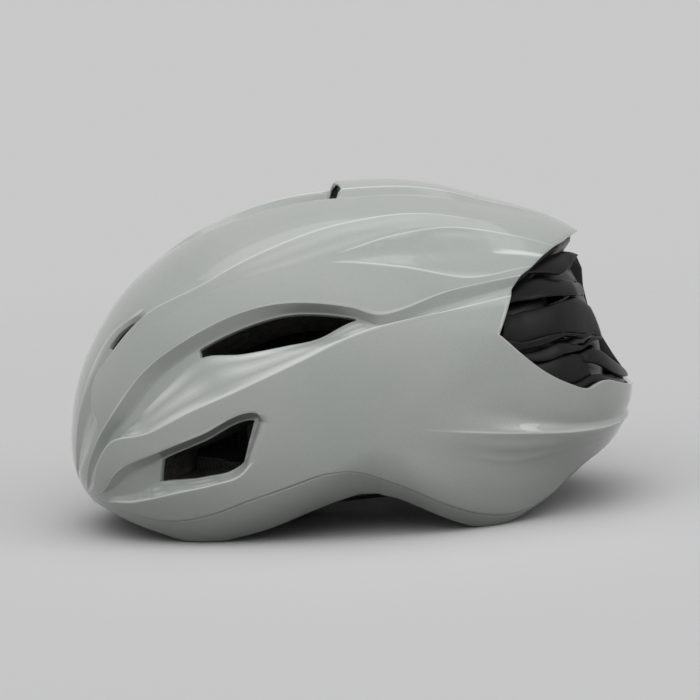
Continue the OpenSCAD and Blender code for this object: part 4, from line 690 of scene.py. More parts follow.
for a in range(0, len(wall), at_once):
    gap = np.linalg.norm(wall[a:a + at_once, None] - edge_points[None], axis=2)
    near_edge[a:a + at_once] = gap.min(1)
lift = soft_edge - np.sqrt(np.maximum(soft_edge ** 2 - np.maximum(soft_edge - near_edge, 0) ** 2, 0))
inner = wall + unit(wall - centre) * lift[:, None]
points, count = [outer, inner], 2 * len(outer)
faces = [quads, quads[:, ::-1] + len(outer)]
for loop in loops:
    into, deeper = frame_of(outer[loop])
    if rim_start not in loop:
        outer[loop] -= into * trim_room
    a, b = outer[loop], inner[loop]
    numbers = [loop]
    for t in (0.04, 0.3, 0.6, 0.9):
        numbers.append(np.arange(count, count + len(loop)))
        points.append(a * (1 - t) + b * t)
        count += len(loop)
    numbers.append(loop + len(outer))
    faces += [strip(p, q) for p, q in zip(numbers[:-1], numbers[1:])]
foam = make_piece("foam_body", np.concatenate(points), np.concatenate(faces))
foam_black, tree, shader, place = finish_of("charcoal foam", (0.016, 0.015, 0.014), 0.62)
beads = add(tree, "ShaderNodeTexVoronoi", {"Vector": place, "Scale": 330.0, "Randomness": 0.85})
seams = add(tree, "ShaderNodeTexVoronoi", {"Vector": place, "Scale": 330.0, "Randomness": 0.85},
            feature="DISTANCE_TO_EDGE")
pick = add(tree, "ShaderNodeSeparateColor", {"Color": beads.outputs["Color"]})
coloured(tree, shader, pick.outputs["Blue"], (0.009, 0.0085, 0.008), (0.034, 0.031, 0.028))
swell = add(tree, "ShaderNodeMapRange", {"Value": seams.outputs["Distance"], "From Max": 0.28},
            interpolation_type="SMOOTHSTEP")
bumped(tree, shader, swell.outputs["Result"], 0.0004, 0.45)
foam.data.materials.append(foam_black)
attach(foam, "helmet")
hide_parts("foam_liner")

# Rear outlet: a grille moulded in black nylon and set in the cut-out, where the air leaves. Each side
# has a tub with ports through it, and overlapping louvres in front of them with dark slits between.
# k runs from the middle (0) to the cut-out's corner (1), v from its top (0) to its bottom (1).
tub_d, tub_t, tub_edge, louvre_t = 15, 2, 4.4, 1.7
# The louvres from the shell's edge to their free tips: k, v and depth of the top edge, then of the bottom one
louvres = {
    "wing": [(0.7, -0.03, 8, 0.68, 0.01, 7.5), (0.6, -0.02, 8, 0.62, 0.035, 7), (0.52, 0, 7.5, 0.555, 0.12, 6.5),
             (0.46, 0.04, 7, 0.49, 0.21, 5.5), (0.4, 0.065, 6, 0.43, 0.195, 5), (0.34, 0.105, 5, 0.37, 0.175, 4.6),
             (0.29, 0.145, 4.5, 0.3, 0.16, 4.4)],
    "upper": [(0.78, 0.03, 9, 0.86, 0.12, 8), (0.66, 0.05, 8.5, 0.76, 0.185, 7.5), (0.58, 0.12, 8.5, 0.68, 0.25, 7),
              (0.5, 0.22, 8.5, 0.6, 0.3, 6.5), (0.45, 0.26, 8, 0.5, 0.36, 6), (0.4, 0.29, 8, 0.42, 0.39, 6.3),
              (0.33, 0.31, 9, 0.33, 0.4, 8), (0.2, 0.32, 12, 0.2, 0.41, 11.5)],
    "middle": [(0.9, 0.3, 10, 0.92, 0.8, 8.5), (0.84, 0.32, 9.5, 0.86, 0.75, 8.5), (0.73, 0.33, 9, 0.74, 0.68, 8.3),
               (0.62, 0.37, 8.3, 0.62, 0.63, 8), (0.55, 0.39, 7.8, 0.5, 0.62, 7.5), (0.47, 0.395, 8, 0.44, 0.63, 7.8),
               (0.4, 0.395, 8.3, 0.33, 0.66, 8.3), (0.3, 0.44, 8.5, 0.26, 0.68, 8.5), (0.23, 0.5, 8.5, 0.17, 0.7, 8)],
    "ledge": [(0.92, 0.8, 7, 0.84, 0.92, 8), (0.86, 0.75, 7, 0.78, 0.8, 8), (0.74, 0.67, 6.8, 0.7, 0.73, 7.8),
              (0.62, 0.62, 6.5, 0.62, 0.69, 7.5), (0.5, 0.62, 6.5, 0.53, 0.655, 7.3), (0.46, 0.63, 6.5, 0.48, 0.645, 7),
              (0.33, 0.66, 6, 0.35, 0.68, 6.5), (0.27, 0.675, 6, 0.28, 0.685, 6.3)],
    "lower": [(0.84, 0.9, 10, 0.8, 0.99, 9), (0.76, 0.8, 9.5, 0.72, 0.88, 8), (0.68, 0.75, 9, 0.65, 0.84, 7.5),
              (0.6, 0.71, 8.5, 0.58, 0.81, 7), (0.52, 0.68, 8, 0.51, 0.77, 6.8), (0.42, 0.7, 8, 0.43, 0.75, 7),
              (0.35, 0.72, 7.5, 0.36, 0.745, 7), (0.28, 0.7, 7, 0.28, 0.735, 6.5), (0.2, 0.71, 6.5, 0.2, 0.725, 6.3)],
    "cheek": [(0.74, 0.9, 9.5, 0.66, 1, 9), (0.65, 0.85, 9.3, 0.55, 0.99, 8.5), (0.51, 0.78, 9, 0.44, 0.96, 8),
              (0.42, 0.76, 8.5, 0.34, 0.955, 7.5), (0.36, 0.78, 7.5, 0.26, 0.95, 7)],
    "lip": [(0.39, 0.765, 8.5, 0.37, 0.79, 8), (0.33, 0.765, 7, 0.345, 0.83, 6.5), (0.27, 0.775, 6, 0.28, 0.865, 5.5),
            (0.21, 0.805, 5.5, 0.2, 0.91, 4.5), (0.12, 0.865, 4.5, 0.12, 0.94, 3.5), (0.05, 0.92, 3.5, 0.05, 0.955, 2.8),
            (0, 0.94, 3, 0, 0.965, 2.5)],
    "sill": [(0.6, 0.99, 8.5, 0.62, 1, 8), (0.5, 0.97, 8, 0.52, 1, 7), (0.33, 0.95, 7, 0.34, 1, 6),
             (0.15, 0.95, 5.5, 0.15, 1, 4.6), (0, 0.96, 4.8, 0, 1, 4.4)],
}


def outlet_p(k, v):
    """Directions of places in the cut-out"""
    k, v = np.broadcast_arrays(np.asarray(k, float), np.asarray(v, float))
    flat_k = k.ravel()
    top = rows_at(cut_line * np.clip(flat_k, 0, 1), np.array([10.0]))[0][:, 0].reshape(k.shape + (3,))
    foot = line_at(cut_line, 13 - 3 * flat_k)[0].reshape(k.shape + (3,))
    return top * (1 - v[..., None]) + foot * v[..., None]


outlet_points, outlet_faces = [], []


def add_part(p, faces):
    """Add a part to the grille, and its twin on the far side"""
    start = sum(len(a) for a in outlet_points)
    outlet_points.append(p * [1, -1, 1])
    outlet_faces.extend((np.asarray(faces)[:, ::-1] + start).tolist())
    outlet_points.append(p)
    outlet_faces.extend((np.asarray(faces) + start + len(p)).tolist())


def loft(sections):
    """Faces round a row of closed sections, with both ends closed"""
    n, m = sections.shape[:2]
    faces = faces_round(sections, "open")
    for j in range(m // 2 - 1):
        a, b, c, d = j, j + 1, m - 2 - j, m - 1 - j
        faces.append([a, d, c, b])
        faces.append([(n - 1) * m + v for v in (a, b, c, d)])
    return sections.reshape(-1, 3), faces


across = np.array([0, 0.05, 0.2, 0.4, 0.6, 0.8, 0.95, 1])
for name, table in louvres.items():
    table = np.array(table, float)
    along = np.linspace(0, len(table) - 1, 8 * (len(table) - 1) + 1)
    edges = curve(np.arange(len(table)), table, along)
    sections = []
    for depth_more, t, bow in ((0, across, 0.5), (louvre_t, across[::-1], 0.1)):
        mix = edges[:, None, :3] * (1 - t)[None, :, None] + edges[:, None, 3:] * t[None, :, None]
        rounded = np.interp(t, [0, 0.05, 0.95, 1], [0.35, 0, 0, 0.35]) * (1 if depth_more == 0 else -1)
        depth = mix[..., 2] + depth_more + rounded - bow * np.sin(np.pi * t)
        sections.append(on_dome(outlet_p(mix[..., 0], mix[..., 1]), depth))
    add_part(*loft(np.concatenate(sections, 1)))

tub_k = np.concatenate([np.linspace(0, 0.14, 4)[:-1], np.linspace(0.14, 0.6, 15)[:-1], np.linspace(0.6, 0.7, 4)[:-1],
                        np.linspace(0.7, 0.97, 9)])
tub_v = np.concatenate([[0, 0.025, 0.05, 0.075], [0.1, 0.13, 0.16, 0.19, 0.22, 0.25], [0.28, 0.31, 0.34, 0.37],
                        np.linspace(0.37, 0.54, 7)[1:], [0.57, 0.6, 0.64, 0.68], [0.72, 0.76, 0.8, 0.84, 0.88],
                        [0.92, 0.95, 0.975, 1]])
kk, vv = np.meshgrid(tub_k, tub_v, indexing="ij")
tub_p = outlet_p(kk, vv)
tall = np.linalg.norm(tub_p[:, -1] - tub_p[:, 0], axis=1)[:, None]
from_edge = np.minimum(vv, 1 - vv) * tall
sink = tub_edge + (tub_d - tub_edge) * eased_ramp(from_edge, 0.5, 6)
front, behind = on_dome(tub_p, sink), on_dome(tub_p, sink + tub_t)
nk, nv = kk.shape
mid_k, mid_v = np.meshgrid((tub_k[1:] + tub_k[:-1]) / 2, (tub_v[1:] + tub_v[:-1]) / 2, indexing="ij")
port = (mid_k > 0.14) & (((mid_k < 0.34) & (mid_v > 0.1) & (mid_v < 0.19))
                         | ((mid_k < 0.46) & (mid_v > 0.72) & (mid_v < 0.8))
                         | ((mid_k < 0.5) & (((mid_v > 0.28) & (mid_v < 0.37)) | ((mid_v > 0.54) & (mid_v < 0.64)))))
number = np.arange(nk * nv).reshape(nk, nv)
cells = np.stack([number[:-1, :-1], number[:-1, 1:], number[1:, 1:], number[1:, :-1]], -1)[~port]
tub_faces = cells.tolist() + (cells[:, ::-1] + nk * nv).tolist()
edges = {e for q in cells.tolist() for e in zip(q, q[1:] + q[:1])}
tub_faces += [[b, a, a + nk * nv, b + nk * nv] for a, b in sorted(edges) if (b, a) not in edges and max(a, b) >= nv]
add_part(np.concatenate([front.reshape(-1, 3), behind.reshape(-1, 3)]), tub_faces)
# The spine down the middle: a flat rib with rounded edges, narrower towards its free edge
spine = np.array([[105, 130], [110, 132], [116, 129.5], [118.5, 123], [118.7, 114], [121, 102], [126.5, 89], [132, 79],
                  [137.6, 70], [134, 68.2], [122, 68.4], [114, 82], [112, 96], [108, 114]])
outward = np.interp(np.arange(len(spine)), [0, 1, 2, 8, 9, 10, 13], [0, 0.5, 1, 1, 0.8, 0, 0])
rings = []
toward = np.roll(spine, -1, 0) - np.roll(spine, 1, 0)
inward = np.stack([toward[:, 1], -toward[:, 0]], -1) / np.linalg.norm(toward, axis=1)[:, None]
for half_t, drawn_in in ((0, 0), (1.6, 0.25), (2.4, 0.9), (3.3, 4)):
    x, z = (spine + inward * drawn_in * outward[:, None]).T
    rings.append(np.stack([x, np.full(len(spine), half_t), z], -1))
rings = np.stack([r * [1, -1, 1] for r in rings[:0:-1]] + rings)
spine_part = make_piece("spine", rings.reshape(-1, 3), faces_round(rings, "capped"))
grille = make_piece("outlet_grille", np.concatenate(outlet_points), outlet_faces)
merged = bmesh.new()
merged.from_mesh(spine_part.data)
bmesh.ops.recalc_face_normals(merged, faces=merged.faces)
bpy.data.objects.remove(spine_part)
merged.from_mesh(grille.data)
bmesh.ops.remove_doubles(merged, verts=merged.verts, dist=1e-6)
merged.to_mesh(grille.data)
merged.free()
outlet_black, tree, shader, place = finish_of("satin black nylon", (0.006, 0.006, 0.0065), 0.33, Specular_IOR_Level=0.27)
grain = add(tree, "ShaderNodeTexNoise", {"Vector": place, "Scale": 1900.0, "Detail": 2.0})
patches = add(tree, "ShaderNodeTexNoise", {"Vector": place, "Scale": 60.0, "Detail": 3.0})
polished(tree, shader, patches.outputs["Fac"], 0.27, 0.42)
bumped(tree, shader, grain.outputs["Fac"], 0.00006, 0.5)
grille.data.materials.append(outlet_black)
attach(grille, "helmet")
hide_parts("rear_outlet")
# Head pads: a knitted cover over soft foam, welded flat round its edge, with sewn channels across it.
# One lies across the brow, two along the crown, one on top and one in front of the dial; all but the
# last hold to the liner by hook discs.
pad_cap, pad_shrink, voxel, air_force, air_steps = 0.0008, 0.0005, 0.0017, 4, 20
seam_d, seam_w, seam_in, stitch_d, stitch_w = 0.5, 0.55, 1.9, 0.95, 1.1


def settled(piece):
    """Put the result of a piece's modifiers into its own mesh"""
    bpy.context.view_layer.update()
    seen = piece.evaluated_get(bpy.context.evaluated_depsgraph_get())
    result = bpy.data.meshes.new_from_object(seen)
    piece.modifiers.clear()
    piece.data = result
    return piece


def points_of(mesh, what="co"):
    """A mesh's places, or its normals, as rows of three"""
    out = np.empty(len(mesh.vertices) * 3)
    mesh.vertices.foreach_get(what, out)
    return out.reshape(-1, 3)


def blown_up(piece):
    """Fill the cover: a cloth simulation under pressure, with each point's way capped"""
    before = points_of(piece.data)
    cover = piece.modifiers.new("cover", "CLOTH")
    cover.settings.use_pressure = True
    cover.settings.uniform_pressure_force = air_force
    cover.settings.effector_weights.gravity = 0
    for step in range(1, air_steps + 1):
        bpy.context.scene.frame_set(step)
    seen = piece.evaluated_get(bpy.context.evaluated_depsgraph_get())
    moved = points_of(seen.data) - before
    piece.modifiers.clear()
    bpy.context.scene.frame_set(1)
    way = np.linalg.norm(moved, axis=1, keepdims=True)
    moved *= np.minimum(1, pad_cap / np.maximum(way, 1e-9))
    piece.data.vertices.foreach_set("co", (before + moved).ravel())


def cushion(node, across_of, channels, width):
    """A padded piece over a CAD pad. across_of turns places into millimetres along and across the pad."""
    mesh = bpy.data.meshes.new(node + "_cover")
    edit = bmesh.new()
    edit.from_mesh(frame["nodes"][node].data)
    bmesh.ops.remove_doubles(edit, verts=edit.verts, dist=1e-6)
    edit.normal_update()
    for v in edit.verts:
        v.co -= v.normal * pad_shrink
    edit.to_mesh(mesh)
    edit.free()
    piece = placed(node + "_cover", mesh)
    even = piece.modifiers.new("even", "REMESH")
    even.mode = "VOXEL"
    even.voxel_size = voxel
    settled(piece)
    soften = piece.modifiers.new("soften", "SMOOTH")
    soften.iterations = 2
    settled(piece)
    blown_up(piece)
    finer = piece.modifiers.new("finer", "SUBSURF")
    finer.levels = finer.render_levels = 1
    settled(piece)
    mesh = piece.data
    mesh.shade_smooth()
    places, normals = points_of(mesh), points_of(mesh, "normal")
    along, across, facing = across_of(places / mm + datum, normals)
    sunk = sum(stitch_d * np.exp(-((along - c) / stitch_w) ** 2) for c in channels)
    sunk = sunk * np.clip((width - abs(across)) / 2.5, 0, 1)
    seam = seam_d * np.exp(-((abs(across) - width + seam_in) / seam_w) ** 2)
    places -= normals * (np.maximum(sunk, seam) * np.clip(facing * 1.6, 0, 1) * mm)[:, None]
    mesh.vertices.foreach_set("co", places.ravel())
    weave = mesh.uv_layers.new(name="cloth")
    corners = np.empty(len(mesh.loops), int)
    mesh.loops.foreach_get("vertex_index", corners)
    weave.data.foreach_set("uv", np.stack([along, across], 1)[corners].ravel())
    mesh.materials.clear()
    mesh.materials.append(knit)
    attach(piece, frame["nodes"][node]["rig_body"])
    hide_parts(node)


knit, tree, shader, place = finish_of("black knit", (0.03, 0.031, 0.033), 0.85, Sheen_Weight=0.35,
                                      Sheen_Roughness=0.4, Specular_IOR_Level=0.25)
cloth_map = add(tree, "ShaderNodeUVMap", uv_map="cloth").outputs["UV"]
apart = add(tree, "ShaderNodeSeparateXYZ", {"Vector": cloth_map})
wale = worked(tree, "MULTIPLY", apart.outputs["Y"], 7.0)
wale_wave = worked(tree, "SINE", wale)
lean_loop = worked(tree, "ABSOLUTE", wale_wave)
course = worked(tree, "MULTIPLY_ADD", apart.outputs["X"], 9.0, lean_loop)
course_wave = worked(tree, "SINE", course)
loops_high = worked(tree, "ADD", course_wave, lean_loop)
holes = add(tree, "ShaderNodeTexVoronoi", {"Vector": cloth_map, "Scale": 0.55, "Randomness": 0.0})
hole = add(tree, "ShaderNodeMapRange", {"Value": holes.outputs["Distance"], "From Min": 0.14, "From Max": 0.3},
           interpolation_type="SMOOTHSTEP")
cloudy = add(tree, "ShaderNodeTexNoise", {"Vector": place, "Scale": 90.0, "Detail": 4.0})
shade = two_shades(tree, cloudy.outputs["Fac"], (0.022, 0.023, 0.025), (0.042, 0.043, 0.046), (0.3, 0.7))
darker = add(tree, "ShaderNodeMix", {"Factor": hole.outputs["Result"], "A": (0.008, 0.008, 0.009, 1),
                                     "B": shade}, data_type="RGBA")
tree.links.new(darker.outputs["Result"], shader.inputs["Base Color"])
high = worked(tree, "MULTIPLY_ADD", loops_high, 0.12, hole.outputs["Result"])
bumped(tree, shader, high, 0.0004, 0.8)


def on_brow(p, normals):
    """Along the brow by its angle, and down from its middle"""
    q = p - centre
    return np.degrees(np.arctan2(q[:, 1], -q[:, 0])) * 1.55, p[:, 2] - 42, (normals * -unit(q)).sum(1)


def on_crown(y):
    """Along a pad that runs fore and aft over the crown, y to the side of the middle"""
    def across_of(p, normals):
        q = p - centre
        turn = np.degrees(np.arctan2(q[:, 2], q[:, 0])) - 93
        return turn * 1.5, (p[:, 1] - y) * 1.08, (normals * -unit(q)).sum(1)
    return across_of


def on_nape(p, normals):
    """Along the nape pad, and up from its middle"""
    return p[:, 1], p[:, 2] - 29, -normals[:, 0]


cushion("brow_pad", on_brow, (-68, -44, -20, 20, 44, 68), 10)
cushion("crown_pad_left", on_crown(-30), (-54, -27, 0, 27, 54), 9)
cushion("crown_pad_right", on_crown(30), (-54, -27, 0, 27, 54), 9)
cushion("top_pad", on_crown(0), (-26, 0, 26), 9)
cushion("nape_pad", on_nape, (-7, 7), 9)

# Hook discs: nine small round patches of nylon hook tape, glued to the liner behind the pads. The
# loops of the pads' cloth hold to them, so that the pads come off to be washed.
hook_tape, tree, shader, place = finish_of("hook tape", (0.035, 0.035, 0.038), 0.6)
hooks = add(tree, "ShaderNodeTexVoronoi", {"Vector": place, "Scale": 1500.0, "Randomness": 0.3})
bumped(tree, shader, hooks.outputs["Distance"], 0.0003, 1.0)
pick = add(tree, "ShaderNodeSeparateColor", {"Color": hooks.outputs["Color"]})
coloured(tree, shader, pick.outputs["Red"], (0.02, 0.02, 0.022), (0.06, 0.06, 0.064))


def refinish(node, finish):
    """Give a CAD node that stays a better material"""
    piece = frame["nodes"][node]
    if not piece.material_slots:
        piece.data.materials.append(finish)
    for place_of in piece.material_slots:
        place_of.material = finish


refinish("pad_hooks", hook_tape)

# Strap anchors: four plates of black nylon glued to the liner's lower inner edge, each with two ears
# and a cross pin that a strap loops round.
def rounded(piece, edge):
    """Round the piece's edges by so many millimetres"""
    rounding = piece.modifiers.new("rounding", "BEVEL")
    rounding.width, rounding.segments, rounding.angle_limit = edge * mm, 2, math.radians(28)
    settled(piece)


def join(piece, others=(), outwards=False):
    """Turn the piece's own faces outwards if asked, and add other meshes to it"""
    edit = bmesh.new()
    edit.from_mesh(piece.data)
    if outwards:
        bmesh.ops.recalc_face_normals(edit, faces=edit.faces)
    for mesh in others:
        edit.from_mesh(mesh)
    edit.to_mesh(piece.data)
    edit.free()


def moulded(node, edge, others=(), cutters=()):
    """A hard CAD part with its flat faces joined, its edges rounded, and its finer forms added"""
    mesh = bpy.data.meshes.new(node + "_part")
    edit = bmesh.new()
    edit.from_mesh(frame["nodes"][node].data)
    bmesh.ops.remove_doubles(edit, verts=edit.verts, dist=2e-6)
    bmesh.ops.dissolve_limit(edit, angle_limit=math.radians(0.6), verts=edit.verts, edges=edit.edges)
    edit.to_mesh(mesh)
    edit.free()
    piece = placed(node + "_part", mesh)
    for cutter in cutters:
        cut = piece.modifiers.new("cut", "BOOLEAN")
        cut.operation, cut.solver, cut.object = "DIFFERENCE", "EXACT", cutter
    if cutters:
        settled(piece)
    rounded(piece, edge)
    join(piece, others)
    return piece


def fitted(piece, finish, node):
    """Smooth a finished hard piece, and give it its material, body and node"""
    piece.data.shade_smooth()
    even = piece.modifiers.new("even", "WEIGHTED_NORMAL")
    even.keep_sharp = True
    settled(piece)
    piece.data.materials.clear()
    piece.data.materials.append(finish)
    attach(piece, frame["nodes"][node]["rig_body"])
    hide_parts(node)


def in_metres(p):
    """Places in metres on the floor, from millimetres above the datum"""
    return (np.asarray(p, float) - datum) * mm


nylon, tree, shader, place = finish_of("grained nylon", (0.022, 0.022, 0.024), 0.5, Specular_IOR_Level=0.4)
grain = add(tree, "ShaderNodeTexNoise", {"Vector": place, "Scale": 2600.0, "Detail": 2.0})
cloud = add(tree, "ShaderNodeTexNoise", {"Vector": place, "Scale": 60.0, "Detail": 3.0})
bumped(tree, shader, grain.outputs["Fac"], 0.00012, 0.6)
coloured(tree, shader, cloud.outputs["Fac"], (0.017, 0.017, 0.019), (0.029, 0.029, 0.031), (0.3, 0.7))
polished(tree, shader, cloud.outputs["Fac"], 0.42, 0.56)
for place_name in ("front_left", "front_right", "rear_left", "rear_right"):
    fitted(moulded("strap_anchor_" + place_name, 0.35), nylon, "strap_anchor_" + place_name)

# Straps: 15 mm woven polyester webbing. A front and a rear strap loop round each side's anchor pins and
# are sewn back on themselves with bar tacks; they meet in the divider, and one chin strap runs on.
# They lie folded in under the helmet, in a plane for each side that dips to the middle.
pin_y, pin_z, dip = 61.0, 25.0, math.radians(13.2)
web_w, web_t, web_n = 15, 1.2, 2.25
rib_group = bpy.data.node_groups.new("row of ribs", "GeometryNodeTree")
for socket, kind in (("Geometry", "NodeSocketGeometry"), ("Start", "NodeSocketVector"), ("Step", "NodeSocketVector"),
                     ("Count", "NodeSocketInt"), ("Half", "NodeSocketVector"), ("Radius", "NodeSocketFloat"),
                     ("Round", "NodeSocketBool"), ("Rim", "NodeSocketFloat"), ("Finish", "NodeSocketMaterial")):
    rib_group.interface.new_socket(socket, in_out="INPUT", socket_type=kind)
rib_group.interface.new_socket("Geometry", in_out="OUTPUT", socket_type="NodeSocketGeometry")
given = rib_group.nodes.new("NodeGroupInput").outputs
line = add(rib_group, "GeometryNodeMeshLine", {"Count": given["Count"], "Start Location": given["Start"],
                                               "Offset": given["Step"]}, mode="OFFSET")
circle = add(rib_group, "GeometryNodeMeshCircle", {"Vertices": given["Count"], "Radius": given["Rim"]})
stood = add(rib_group, "GeometryNodeTransform", {"Geometry": circle.outputs["Mesh"], "Translation": given["Start"],
                                                 "Rotation": (0, math.pi / 2, 0)})
places_of = add(rib_group, "GeometryNodeSwitch", {"Switch": given["Round"], "False": line.outputs["Mesh"],
                                                  "True": stood.outputs["Geometry"]}, input_type="GEOMETRY")
back = add(rib_group, "ShaderNodeVectorMath", {0: given["Half"], "Scale": -1.0}, operation="SCALE")
core = add(rib_group, "GeometryNodeCurvePrimitiveLine", {"Start": back.outputs[0], "End": given["Half"]})
steps = add(rib_group, "GeometryNodeResampleCurve", {"Curve": core.outputs["Curve"], "Count": 7})
part_way = add(rib_group, "GeometryNodeSplineParameter").outputs["Factor"]
off_middle = worked(rib_group, "MULTIPLY_ADD", part_way, 2.0, -1.0)
far_off = worked(rib_group, "ABSOLUTE", off_middle)
steep = worked(rib_group, "POWER", far_off, 5.0)
slim = worked(rib_group, "SUBTRACT", 1.02, steep)
thick = worked(rib_group, "SQRT", slim)
shaped = add(rib_group, "GeometryNodeSetCurveRadius", {"Curve": steps.outputs["Curve"], "Radius": thick})
section = add(rib_group, "GeometryNodeCurvePrimitiveCircle", {"Resolution": 6, "Radius": given["Radius"]})
tube = add(rib_group, "GeometryNodeCurveToMesh", {"Curve": shaped.outputs["Curve"],
                                                  "Profile Curve": section.outputs["Curve"], "Fill Caps": True})
laid = add(rib_group, "GeometryNodeInstanceOnPoints", {"Points": places_of.outputs[0], "Instance": tube.outputs["Mesh"]})
real = add(rib_group, "GeometryNodeRealizeInstances", {"Geometry": laid.outputs["Instances"]})
finished = add(rib_group, "GeometryNodeSetMaterial", {"Geometry": real.outputs["Geometry"], "Material": given["Finish"]})
add(rib_group, "NodeGroupOutput", {"Geometry": finished.outputs["Geometry"]})


def ribs(start, step, count, half, radius, rim=0.0):
    """A mesh of slim rounded ribs in a row, or round a rim about the dial's axis"""
    piece = placed("ribs", bpy.data.meshes.new("ribs"))
    maker = piece.modifiers.new("maker", "NODES")
    maker.node_group = rib_group
    values = {"Start": start, "Step": step, "Count": count, "Half": half, "Radius": radius * mm,
              "Round": rim > 0, "Rim": rim * mm}
    for socket in rib_group.interface.items_tree:
        if socket.in_out == "INPUT" and socket.name in values:
            value = values[socket.name]
            maker[socket.identifier] = [float(v) for v in value] if isinstance(value, (tuple, np.ndarray)) else value
    settled(piece)
    mesh = piece.data
    bpy.data.objects.remove(piece)
    return mesh


def in_straps(side, p):
    """Places in a side's strap plane, given as x, the way in from the pins and the height over them"""
    p = np.asarray(p, float)
    y = -pin_y + p[..., 1] * math.cos(dip) + p[..., 2] * math.sin(dip)
    z = pin_z - p[..., 1] * math.sin(dip) + p[..., 2] * math.cos(dip)
    return np.stack([p[..., 0], -y if side == "right" else y, z], -1)


def strap_ribs(side, start, step, count, half, radius):
    """A row of ribs in a side's strap plane"""
    a = in_straps(side, start)
    return ribs(in_metres(a), (in_straps(side, np.add(start, step)) - a) * mm, count,
                (in_straps(side, np.add(start, half)) - a) * mm, radius)


section_a = np.array([-1, -0.985, -0.95, -0.6, -0.2, 0.2, 0.6, 0.95, 0.985, 1, 0.985, 0.95, 0.6, 0.2, -0.2, -0.6,
                      -0.95, -0.985])
section_b = np.array([0, 0.65, 1, 0.9, 0.86, 0.86, 0.9, 1, 0.65, 0, -0.65, -1, -0.9, -0.86, -0.86, -0.9, -1, -0.65])


def webbing(node, side, near, far, others):
    """A strap between its two edges, both given in the strap plane from its free end on"""
    near, far = np.array(near, float), np.array(far, float)
    middle, half = (near + far) / 2, (far - near) / 2
    ahead = np.gradient(middle, axis=0)
    up = unit(np.cross(half, ahead))
    ring = (middle[:, None] + half[:, None] * section_a[None, :, None]
            + up[:, None] * section_b[None, :, None] * web_t / 2)
    piece = make_piece(node + "_strap", in_straps(side, ring.reshape(-1, 3)), faces_round(ring, "capped"))
    along = np.concatenate([[0], np.cumsum(np.linalg.norm(np.diff(middle, axis=0), axis=1))])
    edit = bmesh.new()
    edit.from_mesh(piece.data)
    weave = edit.loops.layers.uv.new("weave")
    edit.verts.ensure_lookup_table()
    for face in edit.faces:
        for corner in face.loops:
            i, j = divmod(corner.vert.index, len(section_a))
            corner[weave].uv = (along[i], section_a[j] * web_w / 2)
    bmesh.ops.recalc_face_normals(edit, faces=edit.faces)
    for mesh in others:
        edit.from_mesh(mesh)
    edit.to_mesh(piece.data)
    edit.free()
    piece.data.materials.append(woven)
    piece.data.shade_smooth()
    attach(piece, frame["nodes"][node]["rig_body"])
    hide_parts(node)


woven, tree, shader, place = finish_of("woven polyester", (0.02, 0.02, 0.022), 0.6, Sheen_Weight=0.2,
                                       Sheen_Roughness=0.35)
cloth_map = add(tree, "ShaderNodeUVMap", uv_map="weave").outputs["UV"]
apart = add(tree, "ShaderNodeSeparateXYZ", {"Vector": cloth_map})
column = worked(tree, "MULTIPLY", apart.outputs["Y"], 1.15)
which = worked(tree, "FLOOR", column)
pick = worked(tree, "DIVIDE", apart.outputs["X"], 1.4)
turned_pick = worked(tree, "MULTIPLY_ADD", which, 0.5, pick)
pick_turn = worked(tree, "MULTIPLY", turned_pick, math.tau)
pick_wave = worked(tree, "SINE", pick_turn)
rib_turn = worked(tree, "MULTIPLY", column, math.pi)
rib_wave = worked(tree, "SINE", rib_turn)
rib_high = worked(tree, "ABSOLUTE", rib_wave)
yarn = worked(tree, "MULTIPLY_ADD", pick_wave, 0.35, rib_high)
bumped(tree, shader, yarn, 0.0003, 0.8)
# The weave's low places between the yarns are painted darker: painted shade in its hollows
coloured(tree, shader, yarn, (0.007, 0.007, 0.008), (0.033, 0.033, 0.036), (0.0, 1.0))

# The way round a pin: the sewn-down tail, the loop, and on along the strap, as in and up from the pin
tail = [(14.5, 0.97), (12, 0.97), (9.5, 0.97), (7.5, 0.9), (5.6, 0.5), (3.8, -0.35), (2.6, -1.1)]
loop_way = [(web_n * math.cos(a), web_n * math.sin(a)) for a in np.radians(np.arange(-45, -271, -15))]
way = np.array(tail + loop_way)
front_on = np.array([(s, web_n) for s in np.linspace(2, 40, 20)])
front_way = np.concatenate([way, front_on])
reach = np.maximum(front_way[:, 0], 0) / 40
front_edges = [np.stack([x0 + reach * dx, front_way[:, 0], front_way[:, 1]], -1)
               for x0, dx in ((-47.5, 6.5), (-32.5, 5))]


def rear_edge(x0, end):
    """An edge of the rear strap: straight off the pin, then slanting forward to the divider"""
    out = []
    for s, n in way:
        t = max(s - 3.2, 0) / 50
        out.append((x0 + (-19.7 - x0) * t, s + (end - 3.2 - 50) * t if s > 3.2 else s, n))
    for t in np.linspace(0, 1, 24)[1:]:
        out.append((x0 + (-19.7 - x0) * t, 3.2 + (end - 3.2) * t, web_n))
    return out


for side in ("left", "right"):
    tacks = [strap_ribs(side, (x0 + s * 0.15, s, n), (0.74, 0, 0), 17, (0.15, 1.1, 0), 0.2)
             for s, x0 in ((9, -45.9), (13, -45.9)) for n in (web_n + 0.6, 0.4)]
    webbing("front_webbing_" + side, side, *front_edges, tacks)
    tacks = [strap_ribs(side, (x0, s, n), (0.74, 0, 0), 15, (-1, 0.8, 0), 0.2)
             for s, x0 in ((8.6, 30), (12.6, 25)) for n in (web_n + 0.6, 0.4)]
    webbing("rear_webbing_" + side, side, rear_edge(34.5, 40.8), rear_edge(49.5, 54.5), tacks)
    chin_x = np.linspace(-46.3, -78, 16)
    tacks = [strap_ribs(side, (x, 42.2, web_n + 0.6), (0, 0.74, 0), 17, (1.1, 0, 0), 0.2) for x in (-50, -54)]
    webbing("chin_webbing_" + side, side, [(x, 40.8, web_n) for x in chin_x], [(x, 55.8, web_n) for x in chin_x],
            tacks)

